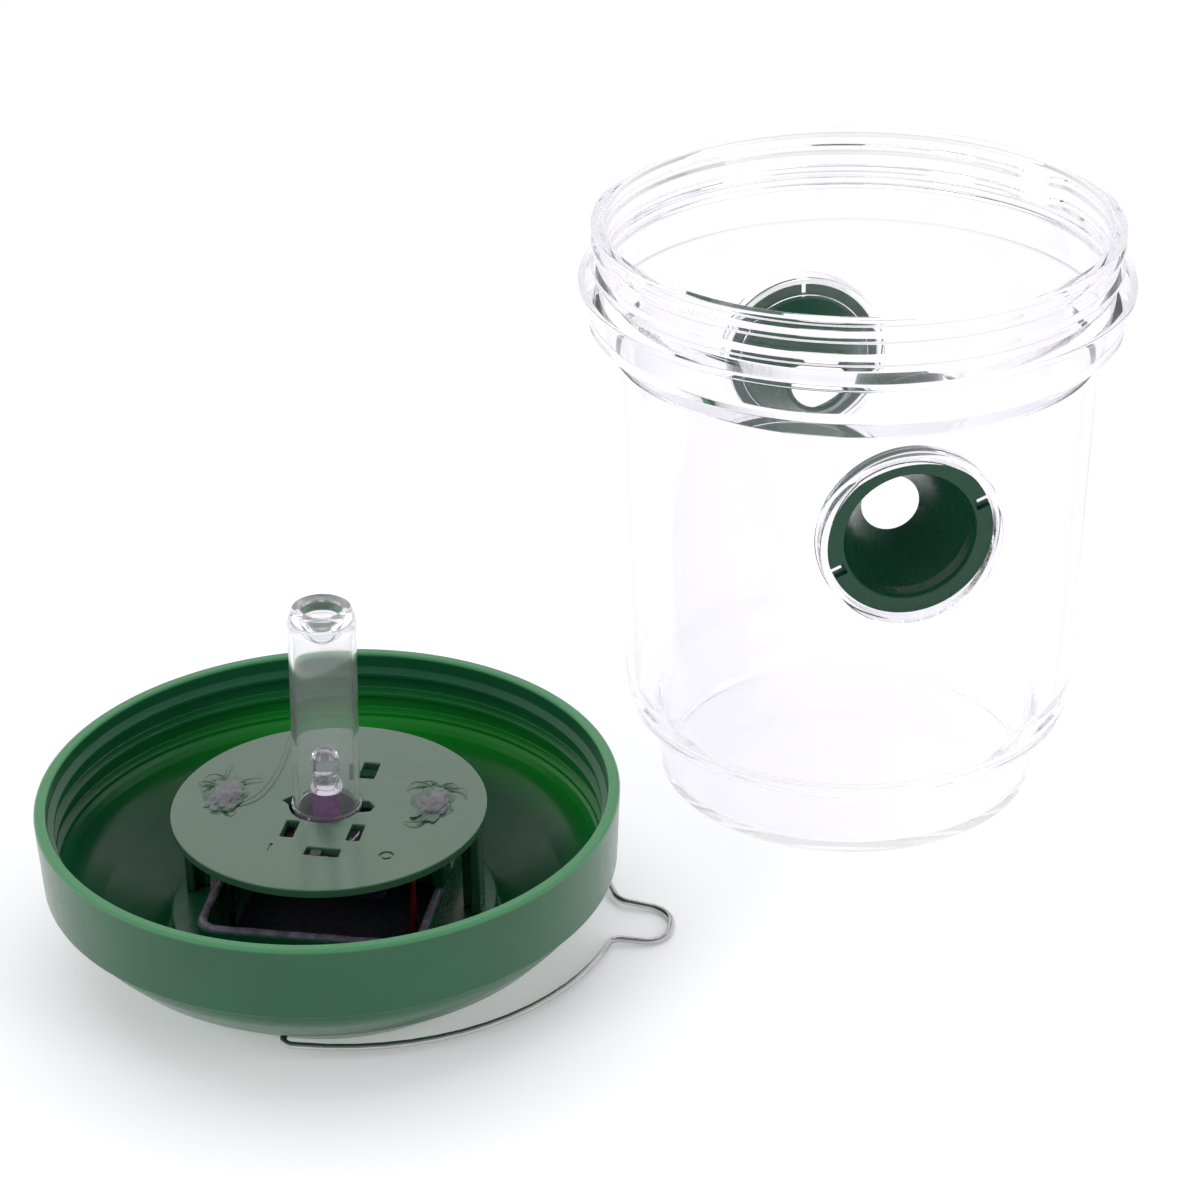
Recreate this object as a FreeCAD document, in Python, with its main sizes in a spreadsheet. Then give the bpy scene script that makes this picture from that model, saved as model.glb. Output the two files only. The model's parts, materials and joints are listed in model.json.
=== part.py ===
import FreeCAD, Part
import math
import os
import Sketcher
from FreeCAD import Placement, Rotation, Vector

# Hanging insect trap: a clear screw jar with two entry cones, and its green lid with a solar light
# module and a wire bail. The jar stands upright; the lid lies upside down on the same surface beside it.
#
# Row frame, mm: origin at the centre of the jar's flat base, +Z up, the cones' common axis along Y.
# Every lid piece is drawn in the lid's own bench frame: origin at the centre of the lid's flat top
# face, +Z towards the open side, and is then placed with the lid.

doc = FreeCAD.newDocument("insect_trap")
sheet = doc.addObject("Spreadsheet::Sheet", "Sizes")
nodes = []


class Size:
    """A number that carries the sheet expression it comes from."""

    def __init__(self, value, text):
        self.value = float(value)
        self.text = text

    def __add__(self, other):
        other = as_size(other)
        return Size(self.value + other.value, f"({self.text} + {other.text})")

    def __sub__(self, other):
        other = as_size(other)
        return Size(self.value - other.value, f"({self.text} - {other.text})")

    def __mul__(self, factor):
        return Size(self.value * factor, f"({self.text} * {factor})")

    def __truediv__(self, divisor):
        return self * (1.0 / divisor)

    def __neg__(self):
        return self * -1


def as_size(number):
    return number if isinstance(number, Size) else Size(number, f"({number})")


def cell(alias, value):
    """Write one driving dimension to the sheet and return it as a Size."""
    row = len(sheet.getUsedCells()) + 1
    sheet.set(f"A{row}", str(value))
    sheet.setAlias(f"A{row}", alias)
    return Size(value, f"Sizes.{alias}")


# ---------------------------------------------------------------- driving dimensions

# Jar
jar_height = cell("jar_height", 116.7)
mouth_radius = cell("mouth_radius", 47.4)
neck_radius = cell("neck_radius", 48.9)
ridge_radius = cell("ridge_radius", 50.0)
ridge_height = cell("ridge_height", 2.2)
ridge_crest = cell("ridge_crest", 0.8)
thread_pitch = cell("thread_pitch", 4.4)
bead_radius = cell("bead_radius", 52.5)
bead_level = cell("bead_level", 105.2)
skirt_radius = cell("skirt_radius", 50.7)
skirt_level = cell("skirt_level", 97.4)
body_top_radius = cell("body_top_radius", 46.3)
body_top_level = cell("body_top_level", 92.8)
body_low_radius = cell("body_low_radius", 44.1)
shoulder_level = cell("shoulder_level", 16.1)
shoulder_rounding = cell("shoulder_rounding", 3.6)
foot_top_radius = cell("foot_top_radius", 38.6)
foot_radius = cell("foot_radius", 37.0)
jar_wall = cell("jar_wall", 1.7)
jar_first_ridge = cell("jar_first_ridge", 113.0)
foot_step = cell("foot_step", 2.2)
edge_break = cell("edge_break", 0.4)

# Sockets in the jar and the entry cones that push into them
cone_level = cell("cone_level", 71.1)
socket_floor = cell("socket_floor", 41.4)
socket_floor_wall = cell("socket_floor_wall", 1.5)
socket_front = cell("socket_front", 44.8)
socket_radius = cell("socket_radius", 15.95)
socket_wall = cell("socket_wall", 1.9)
socket_bore_radius = cell("socket_bore_radius", 13.45)
flange_radius = cell("flange_radius", 15.65)
flange_thickness = cell("flange_thickness", 1.5)
cone_root_radius = cell("cone_root_radius", 13.2)
cone_mouth_radius = cell("cone_mouth_radius", 12.4)
cone_hole_radius = cell("cone_hole_radius", 5.3)
cone_wall = cell("cone_wall", 1.1)
cone_depth = cell("cone_depth", 14.8)
cone_root_length = cell("cone_root_length", 2.2)
socket_gap = cell("socket_gap", 0.1)
notch_width = cell("notch_width", 2.4)
notch_depth = cell("notch_depth", 2.6)

# Lid shell
lid_height = cell("lid_height", 32.65)
lid_radius = cell("lid_radius", 53.0)
lid_rim_inner = cell("lid_rim_inner", 50.8)
lid_step_level = cell("lid_step_level", 18.4)
lid_step_radius = cell("lid_step_radius", 52.3)
flank_radius = cell("flank_radius", 50.3)
flank_knee_radius = cell("flank_knee_radius", 44.0)
flank_knee_level = cell("flank_knee_level", 9.0)
flank_rounding = cell("flank_rounding", 14.0)
lid_top_radius = cell("lid_top_radius", 32.2)
lid_wall = cell("lid_wall", 2.2)
lid_ridge_inner = cell("lid_ridge_inner", 49.5)
lid_first_ridge = cell("lid_first_ridge", 29.0)
bail_hole_radius = cell("bail_hole_radius", 0.75)

# Solar panel, in its window in the lid's flat top
panel_side = cell("panel_side", 40.8)
panel_recess = cell("panel_recess", 41.4)
panel_recess_depth = cell("panel_recess_depth", 1.3)
window_side = cell("window_side", 37.6)
panel_corner = cell("panel_corner", 2.5)

# Light module: base with its square well, cover with its legs
base_radius = cell("base_radius", 30.1)
base_top = cell("base_top", 8.8)
base_wall = cell("base_wall", 1.7)
well_side = cell("well_side", 42.4)
well_wall = cell("well_wall", 1.8)
well_top = cell("well_top", 13.6)
well_corner = cell("well_corner", 4.2)
cover_radius = cell("cover_radius", 28.8)
cover_top = cell("cover_top", 29.0)
cover_thickness = cell("cover_thickness", 1.6)
leg_radius = cell("leg_radius", 27.7)
leg_thickness = cell("leg_thickness", 1.8)
leg_width = cell("leg_width", 6.4)
sealant_width = cell("sealant_width", 2.0)
sealant_height = cell("sealant_height", 0.9)

# Light tube and diode
tube_radius = cell("tube_radius", 6.1)
tube_wall = cell("tube_wall", 0.85)
tube_foot = cell("tube_foot", 23.3)
tube_shoulder = cell("tube_shoulder", 44.6)
roll_radius = cell("roll_radius", 0.8)
roll_ring_radius = cell("roll_ring_radius", 4.5)
dimple_depth = cell("dimple_depth", 6.0)
diode_radius = cell("diode_radius", 2.5)
diode_flange_radius = cell("diode_flange_radius", 2.9)
diode_foot = cell("diode_foot", 32.4)
diode_height = cell("diode_height", 8.7)

# Board, switch and cell
board_top = cell("board_top", 23.0)
board_thickness = cell("board_thickness", 1.6)
switch_length = cell("switch_length", 8.6)
switch_width = cell("switch_width", 3.7)
switch_height = cell("switch_height", 3.4)
switch_sheet = cell("switch_sheet", 0.3)
knob_width = cell("knob_width", 1.9)
knob_travel = cell("knob_travel", 2.4)
cell_radius = cell("cell_radius", 5.2)
cell_length = cell("cell_length", 30.0)
wire_radius = cell("wire_radius", 0.6)

# Bail
bail_wire_radius = cell("bail_wire_radius", 0.65)
bail_pivot_level = cell("bail_pivot_level", 5.0)
bail_reach = cell("bail_reach", 60.7)

doc.recompute()

# Where things stand: the lid beside the jar, and the features of the module cover (x, y) in the
# bench frame.
LID_PLACE = Placement(Vector(-108.5, -45.7, 0), Rotation(Vector(0, 0, 1), -19.67))
TUBE_AT = (-0.7, 0.5)
TUBE_LEAN = 1.6
SWITCH_AT = (2.5, -15.8)
KNOB_REST = -1.2
WINDOWS = (((-5.1, -9.0), (2.4, 5.5)), ((6.9, -8.6), (2.4, 5.4)), ((4.5, 13.0), (3.0, 5.6)))
POSTS = (("left", -19.7, 0.2), ("right", 19.7, 2.6))
POST_SIZE = (2.6, 6.0)
LEG_AZIMUTHS = (3, 62, 118, 177)
BOARD_BOX = ((-12.0, -18.4), (14.0, 4.8))
CELL_AT = (-2.0, 12.4)
PIN_OFFSETS = (-2.5, 0.0, 2.5)
SWITCH_SLOT = (6.3, 2.6)
CHIP_AT = (-7.9, -5.85)
COIL_AT = (9.5, -1.5)
RESISTOR_AT = (-9.5, -12.0)
DIODE_AT = (TUBE_AT[0] + 0.3, TUBE_AT[1])
LEAD_OFFSETS = (-1.27, 1.27)
WIRE_Y = -9.0

# The panel's stack, from the lid's top face inwards.
PANEL_GAP = 0.06
PANEL_COVER_DEPTH = 0.3
CELLS_DEPTH = 0.2
PANEL_BACKING_DEPTH = 0.7
PANEL_MARGIN = 1.6
CELL_STRIPS = 4
STRIP_GAP = 1.0

# How far a cut starts before the face it enters, and the gap left between two parts that touch.
PAST = 1
TOUCH = 0.02


# ---------------------------------------------------------------- drawing helpers

def bind(target, path, size):
    """Tie one property or constraint to the sheet."""
    target.setExpression(path, as_size(size).text)


def new_body(label, place=None):
    """A PartDesign body that becomes one node."""
    body = doc.addObject("PartDesign::Body", label)
    body.Label = label
    if place is not None:
        body.Placement = place
    nodes.append(body)
    return body


def new_sketch(body, name, plane="XY_Plane", level=None):
    """A sketch on one of the body's own origin planes, moved along its normal by level."""
    sketch = body.newObject("Sketcher::SketchObject", f"{body.Label}_{name}")
    support = [item for item in body.Origin.OriginFeatures if item.Role == plane][0]
    sketch.AttachmentSupport = [(support, "")]
    sketch.MapMode = "FlatFace"
    if level is not None:
        bind(sketch, "AttachmentOffset.Base.z", level)
    return sketch


def dimension(sketch, kind, *arguments):
    """Add a constraint whose last argument is a Size, and tie it to the sheet."""
    *where, size = arguments
    size = as_size(size)
    index = sketch.addConstraint(Sketcher.Constraint(kind, *where, size.value))
    bind(sketch, f"Constraints[{index}]", size)


def arc_between(start, end, radius, turn):
    """The shorter arc from start to end; turn is +1 anticlockwise, -1 clockwise."""
    chord = end - start
    middle = (start + end) / 2
    reach = math.sqrt(max(radius ** 2 - (chord.Length / 2) ** 2, 0.0))
    left = Vector(-chord.y, chord.x, 0).normalize()
    centre = middle + left * reach * turn
    first, last = (start, end) if turn > 0 else (end, start)
    angles = [math.atan2(p.y - centre.y, p.x - centre.x) for p in (first, last)]
    return Part.ArcOfCircle(Part.Circle(centre, Vector(0, 0, 1), radius), *angles)


def draw(sketch, steps, closed=True):
    """Draw one outline. A step is (x, y), or (x, y, radius, turn) where an arc arrives there."""
    corners = [(as_size(step[0]), as_size(step[1])) for step in steps]
    flat = [Vector(x.value, y.value, 0) for x, y in corners]
    ends = []
    count = len(steps) if closed else len(steps) - 1
    for index in range(count):
        following = (index + 1) % len(steps)
        step = steps[following]
        if len(step) == 2:
            line = sketch.addGeometry(Part.LineSegment(flat[index], flat[following]))
            ends.append((line, 1, 2))
        else:
            radius, turn = as_size(step[2]), step[3]
            curve = arc_between(flat[index], flat[following], radius.value, turn)
            arc = sketch.addGeometry(curve)
            ends.append((arc, 1, 2) if turn > 0 else (arc, 2, 1))
            dimension(sketch, "Radius", arc, radius)
    for index, (edge, start, end) in enumerate(ends):
        dimension(sketch, "DistanceX", -1, 1, edge, start, corners[index][0])
        dimension(sketch, "DistanceY", -1, 1, edge, start, corners[index][1])
        if closed or index + 1 < count:
            after = ends[(index + 1) % count]
            sketch.addConstraint(Sketcher.Constraint("Coincident", edge, end, after[0], after[1]))
    if not closed:
        edge, start, end = ends[-1]
        dimension(sketch, "DistanceX", -1, 1, edge, end, corners[-1][0])
        dimension(sketch, "DistanceY", -1, 1, edge, end, corners[-1][1])


def rounded(corners):
    """Steps of straight runs joined by tangent arcs. An inner corner is (x, y, radius)."""
    points = [Vector(corner[0], corner[1], 0) for corner in corners]
    steps = [corners[0][:2]]
    for before, corner, after, full in zip(points, points[1:], points[2:], corners[1:]):
        arriving = (corner - before).normalize()
        leaving = (after - corner).normalize()
        turn = 1 if arriving.cross(leaving).z > 0 else -1
        reach = full[2] * math.tan(arriving.getAngle(leaving) / 2)
        first, last = corner - arriving * reach, corner + leaving * reach
        steps += [(first.x, first.y), (last.x, last.y, full[2], turn)]
    return steps + [corners[-1][:2]]


def draw_circle(sketch, x, y, radius):
    x, y, radius = as_size(x), as_size(y), as_size(radius)
    circle = Part.Circle(Vector(x.value, y.value, 0), Vector(0, 0, 1), radius.value)
    index = sketch.addGeometry(circle)
    dimension(sketch, "DistanceX", -1, 1, index, 3, x)
    dimension(sketch, "DistanceY", -1, 1, index, 3, y)
    dimension(sketch, "Radius", index, radius)


def draw_box(sketch, x, y, width, height, corner=None):
    """A rectangle centred on (x, y), with rounded corners if a corner radius is given."""
    x, y = as_size(x), as_size(y)
    left, right = x - as_size(width) / 2, x + as_size(width) / 2
    low, high = y - as_size(height) / 2, y + as_size(height) / 2
    if corner is None:
        draw(sketch, [(left, low), (right, low), (right, high), (left, high)])
        return
    corner = as_size(corner)
    draw(sketch, [
        (left + corner, low, corner, 1), (right - corner, low),
        (right, low + corner, corner, 1), (right, high - corner),
        (right - corner, high, corner, 1), (left + corner, high),
        (left, high - corner, corner, 1), (left, low + corner),
    ])


def feature(body, kind, name, sketch, **settings):
    """A sketch-based feature; its Size settings are tied to the sheet."""
    made = body.newObject(f"PartDesign::{kind}", f"{body.Label}_{name}")
    made.Profile = sketch
    for key, value in settings.items():
        if isinstance(value, Size):
            setattr(made, key, value.value)
            bind(made, key, value)
        else:
            setattr(made, key, value)
    sketch.Visibility = False
    return made


def revolve(body, name, steps, kind="Revolution"):
    """Turn a closed outline (radius, height) round the body's Z axis."""
    sketch = new_sketch(body, f"{name}_outline", "XZ_Plane")
    draw(sketch, steps)
    made = feature(body, kind, name, sketch, Angle=360.0)
    made.ReferenceAxis = (sketch, ["V_Axis"])
    return made


def pattern(body, name, originals, count):
    """Repeat features evenly round the body's Z axis."""
    made = body.newObject("PartDesign::PolarPattern", f"{body.Label}_{name}")
    made.Originals = originals
    axis = [item for item in body.Origin.OriginFeatures if item.Role == "Z_Axis"][0]
    made.Axis = (axis, [""])
    made.Angle = 360.0
    made.Occurrences = count
    body.Tip = made
    return made


def block(label, corner, size):
    """A Part::Box whose sides are tied to the sheet."""
    made = doc.addObject("Part::Box", label)
    for key, value in zip(("Length", "Width", "Height"), size):
        bind(made, key, value)
    for key, value in zip("xyz", corner):
        bind(made, f"Placement.Base.{key}", value)
    return made


def finish_node(made, label, place=None):
    made.Label = label
    if place is not None:
        made.Placement = place.multiply(made.Placement)
    nodes.append(made)
    return made


def thread_ridge(level, root, crest, rising):
    """The four corners of one thread ridge; rising lists them upwards, else downwards."""
    half, flat = ridge_height / 2, ridge_crest / 2
    corners = [(root, level - half), (crest, level - flat), (crest, level + flat), (root, level + half)]
    return corners if rising else corners[::-1]


# ---------------------------------------------------------------- jar

def make_jar():
    body = new_body("jar")
    inner_low = body_low_radius - jar_wall
    outline = [(0, 0), (foot_radius, 0), (foot_top_radius, shoulder_level - foot_step)]
    outline += [(foot_top_radius + 1.0, shoulder_level - 1.4)]
    outline += [(body_low_radius - shoulder_rounding / 3, shoulder_level)]
    outline += [(body_low_radius, shoulder_level + shoulder_rounding, shoulder_rounding, 1)]
    outline += [(body_top_radius, body_top_level), (skirt_radius, skirt_level)]
    outline += [(skirt_radius, bead_level - 1.4), (bead_radius, bead_level - 0.7)]
    outline += [(bead_radius, bead_level + 0.5), (neck_radius, bead_level + 1.4)]
    outline += thread_ridge(jar_first_ridge - thread_pitch, neck_radius, ridge_radius, rising=True)
    outline += thread_ridge(jar_first_ridge, neck_radius, ridge_radius, rising=True)
    outline += [(neck_radius, jar_height - 1.5), (ridge_radius, jar_height - 0.9)]
    outline += [(ridge_radius, jar_height - edge_break), (ridge_radius - edge_break, jar_height)]
    outline += [(mouth_radius + edge_break, jar_height), (mouth_radius, jar_height - edge_break)]
    outline += [(mouth_radius, skirt_level + 0.4), (body_top_radius - jar_wall, body_top_level - 1.2)]
    outline += [(inner_low, shoulder_level + shoulder_rounding)]
    outline += [(inner_low - 2.0, shoulder_level + 1.5, 3.0, -1)]
    outline += [(foot_top_radius - jar_wall, shoulder_level - 0.4)]
    outline += [(foot_radius - jar_wall, jar_wall + 1.2), (foot_radius - jar_wall - 1.2, jar_wall)]
    outline += [(0, jar_wall)]
    revolve(body, "wall", outline)

    cup_back = socket_floor - socket_floor_wall
    cup = new_sketch(body, "cup_outline", "XZ_Plane", cup_back)
    draw_circle(cup, 0, cone_level, socket_radius + socket_wall)
    cup_pad = feature(body, "Pad", "cup", cup, Length=socket_front - cup_back)

    recess = new_sketch(body, "recess_outline", "XZ_Plane", socket_floor)
    draw_circle(recess, 0, cone_level, socket_radius)
    recess_length = skirt_radius - socket_floor + PAST
    recess_cut = feature(body, "Pocket", "recess", recess, Length=recess_length, Reversed=True)

    bore = new_sketch(body, "bore_outline", "XZ_Plane", cup_back - PAST)
    draw_circle(bore, 0, cone_level, socket_bore_radius)
    bore_length = socket_floor_wall + PAST * 2
    bore_cut = feature(body, "Pocket", "bore", bore, Length=bore_length, Reversed=True)
    pattern(body, "both_sockets", [cup_pad, recess_cut, bore_cut], 2)


# ---------------------------------------------------------------- entry cones

def make_entry_cone(label, facing, twist):
    """A funnel with a notched flange, drawn with its flange's face at z = 0 and its tip below."""
    front = (socket_floor + flange_thickness + socket_gap).value
    outward = Rotation(Vector(0, 0, 1), facing).multiply(Rotation(Vector(1, 0, 0), 90))
    turned = outward.multiply(Rotation(Vector(0, 0, 1), twist))
    centre = outward.multVec(Vector(0, 0, front)) + Vector(0, 0, cone_level.value)
    body = new_body(label, Placement(centre, turned))
    tip_radius = cone_hole_radius + cone_wall
    revolve(body, "funnel", [
        (cone_mouth_radius + 0.5, 0), (flange_radius, 0), (flange_radius, -flange_thickness),
        (cone_root_radius, -flange_thickness), (cone_root_radius, -flange_thickness - cone_root_length),
        (tip_radius, -cone_depth), (cone_hole_radius, -cone_depth),
        (cone_mouth_radius - 0.2, -flange_thickness - 0.6), (cone_mouth_radius, -0.5),
    ])
    notch = new_sketch(body, "notch_outline", "XY_Plane", as_size(PAST))
    draw_box(notch, flange_radius - notch_depth / 2 + PAST, 0, notch_depth + PAST * 2, notch_width)
    cut = feature(body, "Pocket", "notch", notch, Length=flange_thickness + PAST + 0.4)
    pattern(body, "both_notches", [cut], 2)


# ---------------------------------------------------------------- lid shell

def make_lid_shell():
    body = new_body("lid_shell", LID_PLACE)
    inner_knee = flank_knee_radius - lid_wall * 0.75
    outline = [(0, 0), (lid_top_radius, 0), (flank_knee_radius, flank_knee_level)]
    outline += [(flank_radius, lid_step_level, flank_rounding, 1), (lid_step_radius, lid_step_level)]
    outline += [(lid_radius, lid_height - edge_break), (lid_radius - edge_break, lid_height)]
    outline += [(lid_rim_inner + edge_break, lid_height), (lid_rim_inner, lid_height - edge_break)]
    for turn in range(2):
        level = lid_first_ridge - thread_pitch * turn
        outline += thread_ridge(level, lid_rim_inner, lid_ridge_inner, rising=False)
    last_ridge = lid_first_ridge - thread_pitch * 2
    outline += thread_ridge(last_ridge, lid_rim_inner, lid_ridge_inner, rising=False)[:3]
    outline += [(flank_radius - lid_wall + 0.4, lid_step_level + 0.4)]
    outline += [(flank_radius - lid_wall, lid_step_level - 1.6)]
    outline += [(inner_knee, flank_knee_level + lid_wall * 0.6, flank_rounding - lid_wall, -1)]
    outline += [(lid_top_radius - 0.9, lid_wall), (0, lid_wall)]
    revolve(body, "shell", outline)

    window = new_sketch(body, "window_outline", "XY_Plane", as_size(-PAST))
    draw_box(window, 0, 0, window_side, window_side)
    feature(body, "Pocket", "window", window, Length=lid_wall + PAST * 2, Reversed=True)
    recess = new_sketch(body, "recess_outline", "XY_Plane", as_size(-PAST))
    draw_box(recess, 0, 0, panel_recess, panel_recess, panel_corner)
    feature(body, "Pocket", "recess", recess, Length=panel_recess_depth + PAST, Reversed=True)

    hole_start = lid_top_radius + PAST
    hole = new_sketch(body, "pivot_outline", "XZ_Plane", hole_start)
    draw_circle(hole, 0, bail_pivot_level, bail_hole_radius)
    hole_length = flank_knee_radius - hole_start + PAST * 2
    cut = feature(body, "Pocket", "pivot", hole, Length=hole_length, Reversed=True)
    pattern(body, "both_pivots", [cut], 2)


# ---------------------------------------------------------------- solar panel

def make_panel():
    """Clear cover, four cells and backing board, stacked in the lid's recess."""
    cells_level = PANEL_GAP + PANEL_COVER_DEPTH
    backing_level = cells_level + CELLS_DEPTH
    layers = (
        ("panel_cover", PANEL_GAP, PANEL_COVER_DEPTH),
        ("panel_backing", backing_level, PANEL_BACKING_DEPTH),
    )
    for label, level, depth in layers:
        body = new_body(label, LID_PLACE)
        outline = new_sketch(body, "outline", "XY_Plane", as_size(level))
        draw_box(outline, 0, 0, panel_side, panel_side, panel_corner - 0.3)
        feature(body, "Pad", "sheet", outline, Length=as_size(depth))
    strips = []
    pitch = panel_side / CELL_STRIPS
    size = (pitch - STRIP_GAP, panel_side - PANEL_MARGIN * 2, as_size(CELLS_DEPTH))
    low = -panel_side / 2 + PANEL_MARGIN
    for index in range(CELL_STRIPS):
        left = pitch * (index - CELL_STRIPS / 2) + STRIP_GAP / 2
        strips.append(block(f"cell_strip_{index}", (left, low, as_size(cells_level)), size))
    cells = doc.addObject("Part::Compound", "solar_cells")
    cells.Links = strips
    finish_node(cells, "solar_cells", LID_PLACE)


# ---------------------------------------------------------------- light module

def make_module_base():
    """Round base with a square well over the panel and two posts for the cover."""
    body = new_body("module_base", LID_PLACE)
    floor = lid_wall + TOUCH * 2
    revolve(body, "shell", [
        (base_radius - base_wall, floor), (base_radius, floor), (base_radius, base_top - 0.5),
        (base_radius - 0.5, base_top), (0, base_top), (0, base_top - base_wall),
        (base_radius - base_wall, base_top - base_wall),
    ])
    well = new_sketch(body, "well_outline", "XY_Plane", floor)
    draw_box(well, 0, 0, well_side, well_side, well_corner)
    feature(body, "Pad", "well", well, Length=well_top - floor)
    post_foot = well_top - 0.5
    for side, x, y in POSTS:
        post = new_sketch(body, f"{side}_post_outline", "XY_Plane", post_foot)
        draw_box(post, x, y, *POST_SIZE)
        feature(body, "Pad", f"{side}_post", post, Length=cover_top - 0.6 - post_foot)
    inner = new_sketch(body, "opening_outline", "XY_Plane", floor - PAST)
    opening = well_side - well_wall * 2
    draw_box(inner, 0, 0, opening, opening, well_corner - well_wall)
    feature(body, "Pocket", "opening", inner, Length=well_top, Reversed=True)


def make_sealant():
    """U-shaped bead on the front, left and right of the well's edge."""
    body = new_body("panel_sealant", LID_PLACE)
    bead = new_sketch(body, "outline", "XY_Plane", well_top + TOUCH)
    outer = well_side / 2 - 0.1
    inner = outer - sealant_width
    corner = well_corner - 0.1
    inner_corner = corner - sealant_width
    draw(bead, [
        (-outer, -4.2), (-outer, -outer + corner), (-outer + corner, -outer, corner, 1),
        (outer - corner, -outer), (outer, -outer + corner, corner, 1), (outer, -1.8),
        (inner, -1.8), (inner, -inner + inner_corner),
        (inner - inner_corner, -inner, inner_corner, -1), (-inner + inner_corner, -inner),
        (-inner, -inner + inner_corner, inner_corner, -1), (-inner, -4.2),
    ])
    feature(body, "Pad", "bead", bead, Length=sealant_height)


def make_module_cover():
    """Round plate with the tube's hole, switch slot, windows, marks and legs."""
    body = new_body("module_cover", LID_PLACE)
    underside = cover_top - cover_thickness
    plate = new_sketch(body, "plate_outline", "XY_Plane", underside)
    draw_circle(plate, 0, 0, cover_radius)
    feature(body, "Pad", "plate", plate, Length=cover_thickness)

    openings = new_sketch(body, "openings_outline", "XY_Plane", cover_top + PAST)
    draw_circle(openings, *TUBE_AT, tube_radius + 0.6)
    for (x, y), (width, length) in WINDOWS:
        draw_box(openings, x, y, width, length)
    draw_box(openings, *SWITCH_AT, *SWITCH_SLOT)
    for _, x, y in POSTS:
        draw_box(openings, x, y, POST_SIZE[0] + 0.3, POST_SIZE[1] + 0.3)
    feature(body, "Pocket", "openings", openings, Length=cover_thickness + PAST * 2)

    notches = new_sketch(body, "notch_outline", "XY_Plane", cover_top + PAST)
    x, y = TUBE_AT
    draw(notches, [(x - 5.5, y - 1.5), (x - 5.5, y + 1.8), (x - 8.2, y)])
    draw(notches, [(x + 5.5, y + 1.8), (x + 5.5, y - 2.2), (x + 8.6, y - 1.6), (x + 9.0, y + 0.2)])
    feature(body, "Pocket", "notches", notches, Length=cover_thickness + PAST * 2)

    marks = new_sketch(body, "mark_outline", "XY_Plane", cover_top + PAST)
    x, y = SWITCH_AT
    draw_box(marks, x - 9.6, y + 0.2, 0.6, 2.6)
    draw_circle(marks, x + 11.6, y + 0.4, 1.4)
    draw_circle(marks, x + 11.6, y + 0.4, 0.8)
    feature(body, "Pocket", "marks", marks, Length=as_size(PAST + 0.25))

    leg_foot = base_top + 0.1
    for azimuth in LEG_AZIMUTHS:
        leg = new_sketch(body, f"leg_{azimuth}_outline")
        leg.AttachmentOffset = Placement(Vector(0, 0, 0), Rotation(Vector(0, 0, 1), azimuth))
        bind(leg, "AttachmentOffset.Base.z", leg_foot)
        draw_box(leg, leg_radius - leg_thickness / 2, 0, leg_thickness, leg_width)
        feature(body, "Pad", f"leg_{azimuth}", leg, Length=underside - leg_foot + 0.1)


def make_glue_blob(side, x, y):
    """Low dome of hot glue over the end of one post."""
    blob = doc.addObject("Part::Ellipsoid", f"{side}_glue_blob")
    blob.Angle1 = 0
    bind(blob, "Radius1", 1.3)
    bind(blob, "Radius2", 3.7)
    bind(blob, "Radius3", 6.2)
    blob.Placement = Placement(Vector(x, y, cover_top.value + TOUCH), Rotation())
    finish_node(blob, f"{side}_glue_blob", LID_PLACE)


# ---------------------------------------------------------------- light tube and diode

def make_light_tube():
    """Clear tube, open at its foot, with a rolled end and a dimple in it."""
    lean = Rotation(Vector(0, 1, 0), TUBE_LEAN)
    body = new_body("light_tube", LID_PLACE.multiply(
        Placement(Vector(TUBE_AT[0], TUBE_AT[1], tube_foot.value), lean)))
    bore = tube_radius - tube_wall
    roll_level = tube_shoulder + 1.6
    roll_outer = roll_ring_radius + roll_radius
    roll_inner = roll_ring_radius - roll_radius
    dimple_level = roll_level - dimple_depth
    revolve(body, "glass", [
        (bore, 0), (tube_radius, 0), (tube_radius, tube_shoulder - 1.2),
        (roll_outer, roll_level, 4.0, 1), (roll_inner, roll_level, roll_radius + 0.001, 1),
        (0.7, dimple_level), (0, dimple_level - 0.3), (0, dimple_level - 1.2),
        (1.3, dimple_level - 0.8), (roll_inner + 0.4, tube_shoulder - 1.0),
        (bore, tube_shoulder - 1.8),
    ])


def make_diode():
    body = new_body("light_diode", LID_PLACE.multiply(
        Placement(Vector(*DIODE_AT, diode_foot.value), Rotation())))
    dome = diode_height - diode_radius
    revolve(body, "lens", [
        (0, 0), (diode_flange_radius, 0), (diode_flange_radius, 1.0), (diode_radius, 1.0),
        (diode_radius, dome), (0, diode_height, diode_radius, 1),
    ])
    legs = []
    for index, offset in enumerate(LEAD_OFFSETS):
        leg = doc.addObject("Part::Cylinder", f"diode_leg_{index}")
        bind(leg, "Radius", 0.25)
        bind(leg, "Height", diode_foot - board_top - TOUCH * 2)
        bind(leg, "Placement.Base.x", DIODE_AT[0] + offset)
        bind(leg, "Placement.Base.y", DIODE_AT[1])
        bind(leg, "Placement.Base.z", board_top + TOUCH)
        legs.append(leg)
    leads = doc.addObject("Part::Compound", "diode_leads")
    leads.Links = legs
    finish_node(leads, "diode_leads", LID_PLACE)
    riser = new_body("diode_riser_board", LID_PLACE)
    strip = new_sketch(riser, "outline", "XY_Plane", board_top + TOUCH)
    draw_box(strip, DIODE_AT[0], DIODE_AT[1] - 1.1, 4.6, 1.6)
    feature(riser, "Pad", "strip", strip, Length=diode_foot - board_top - 0.3)


# ---------------------------------------------------------------- board and its parts

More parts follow.
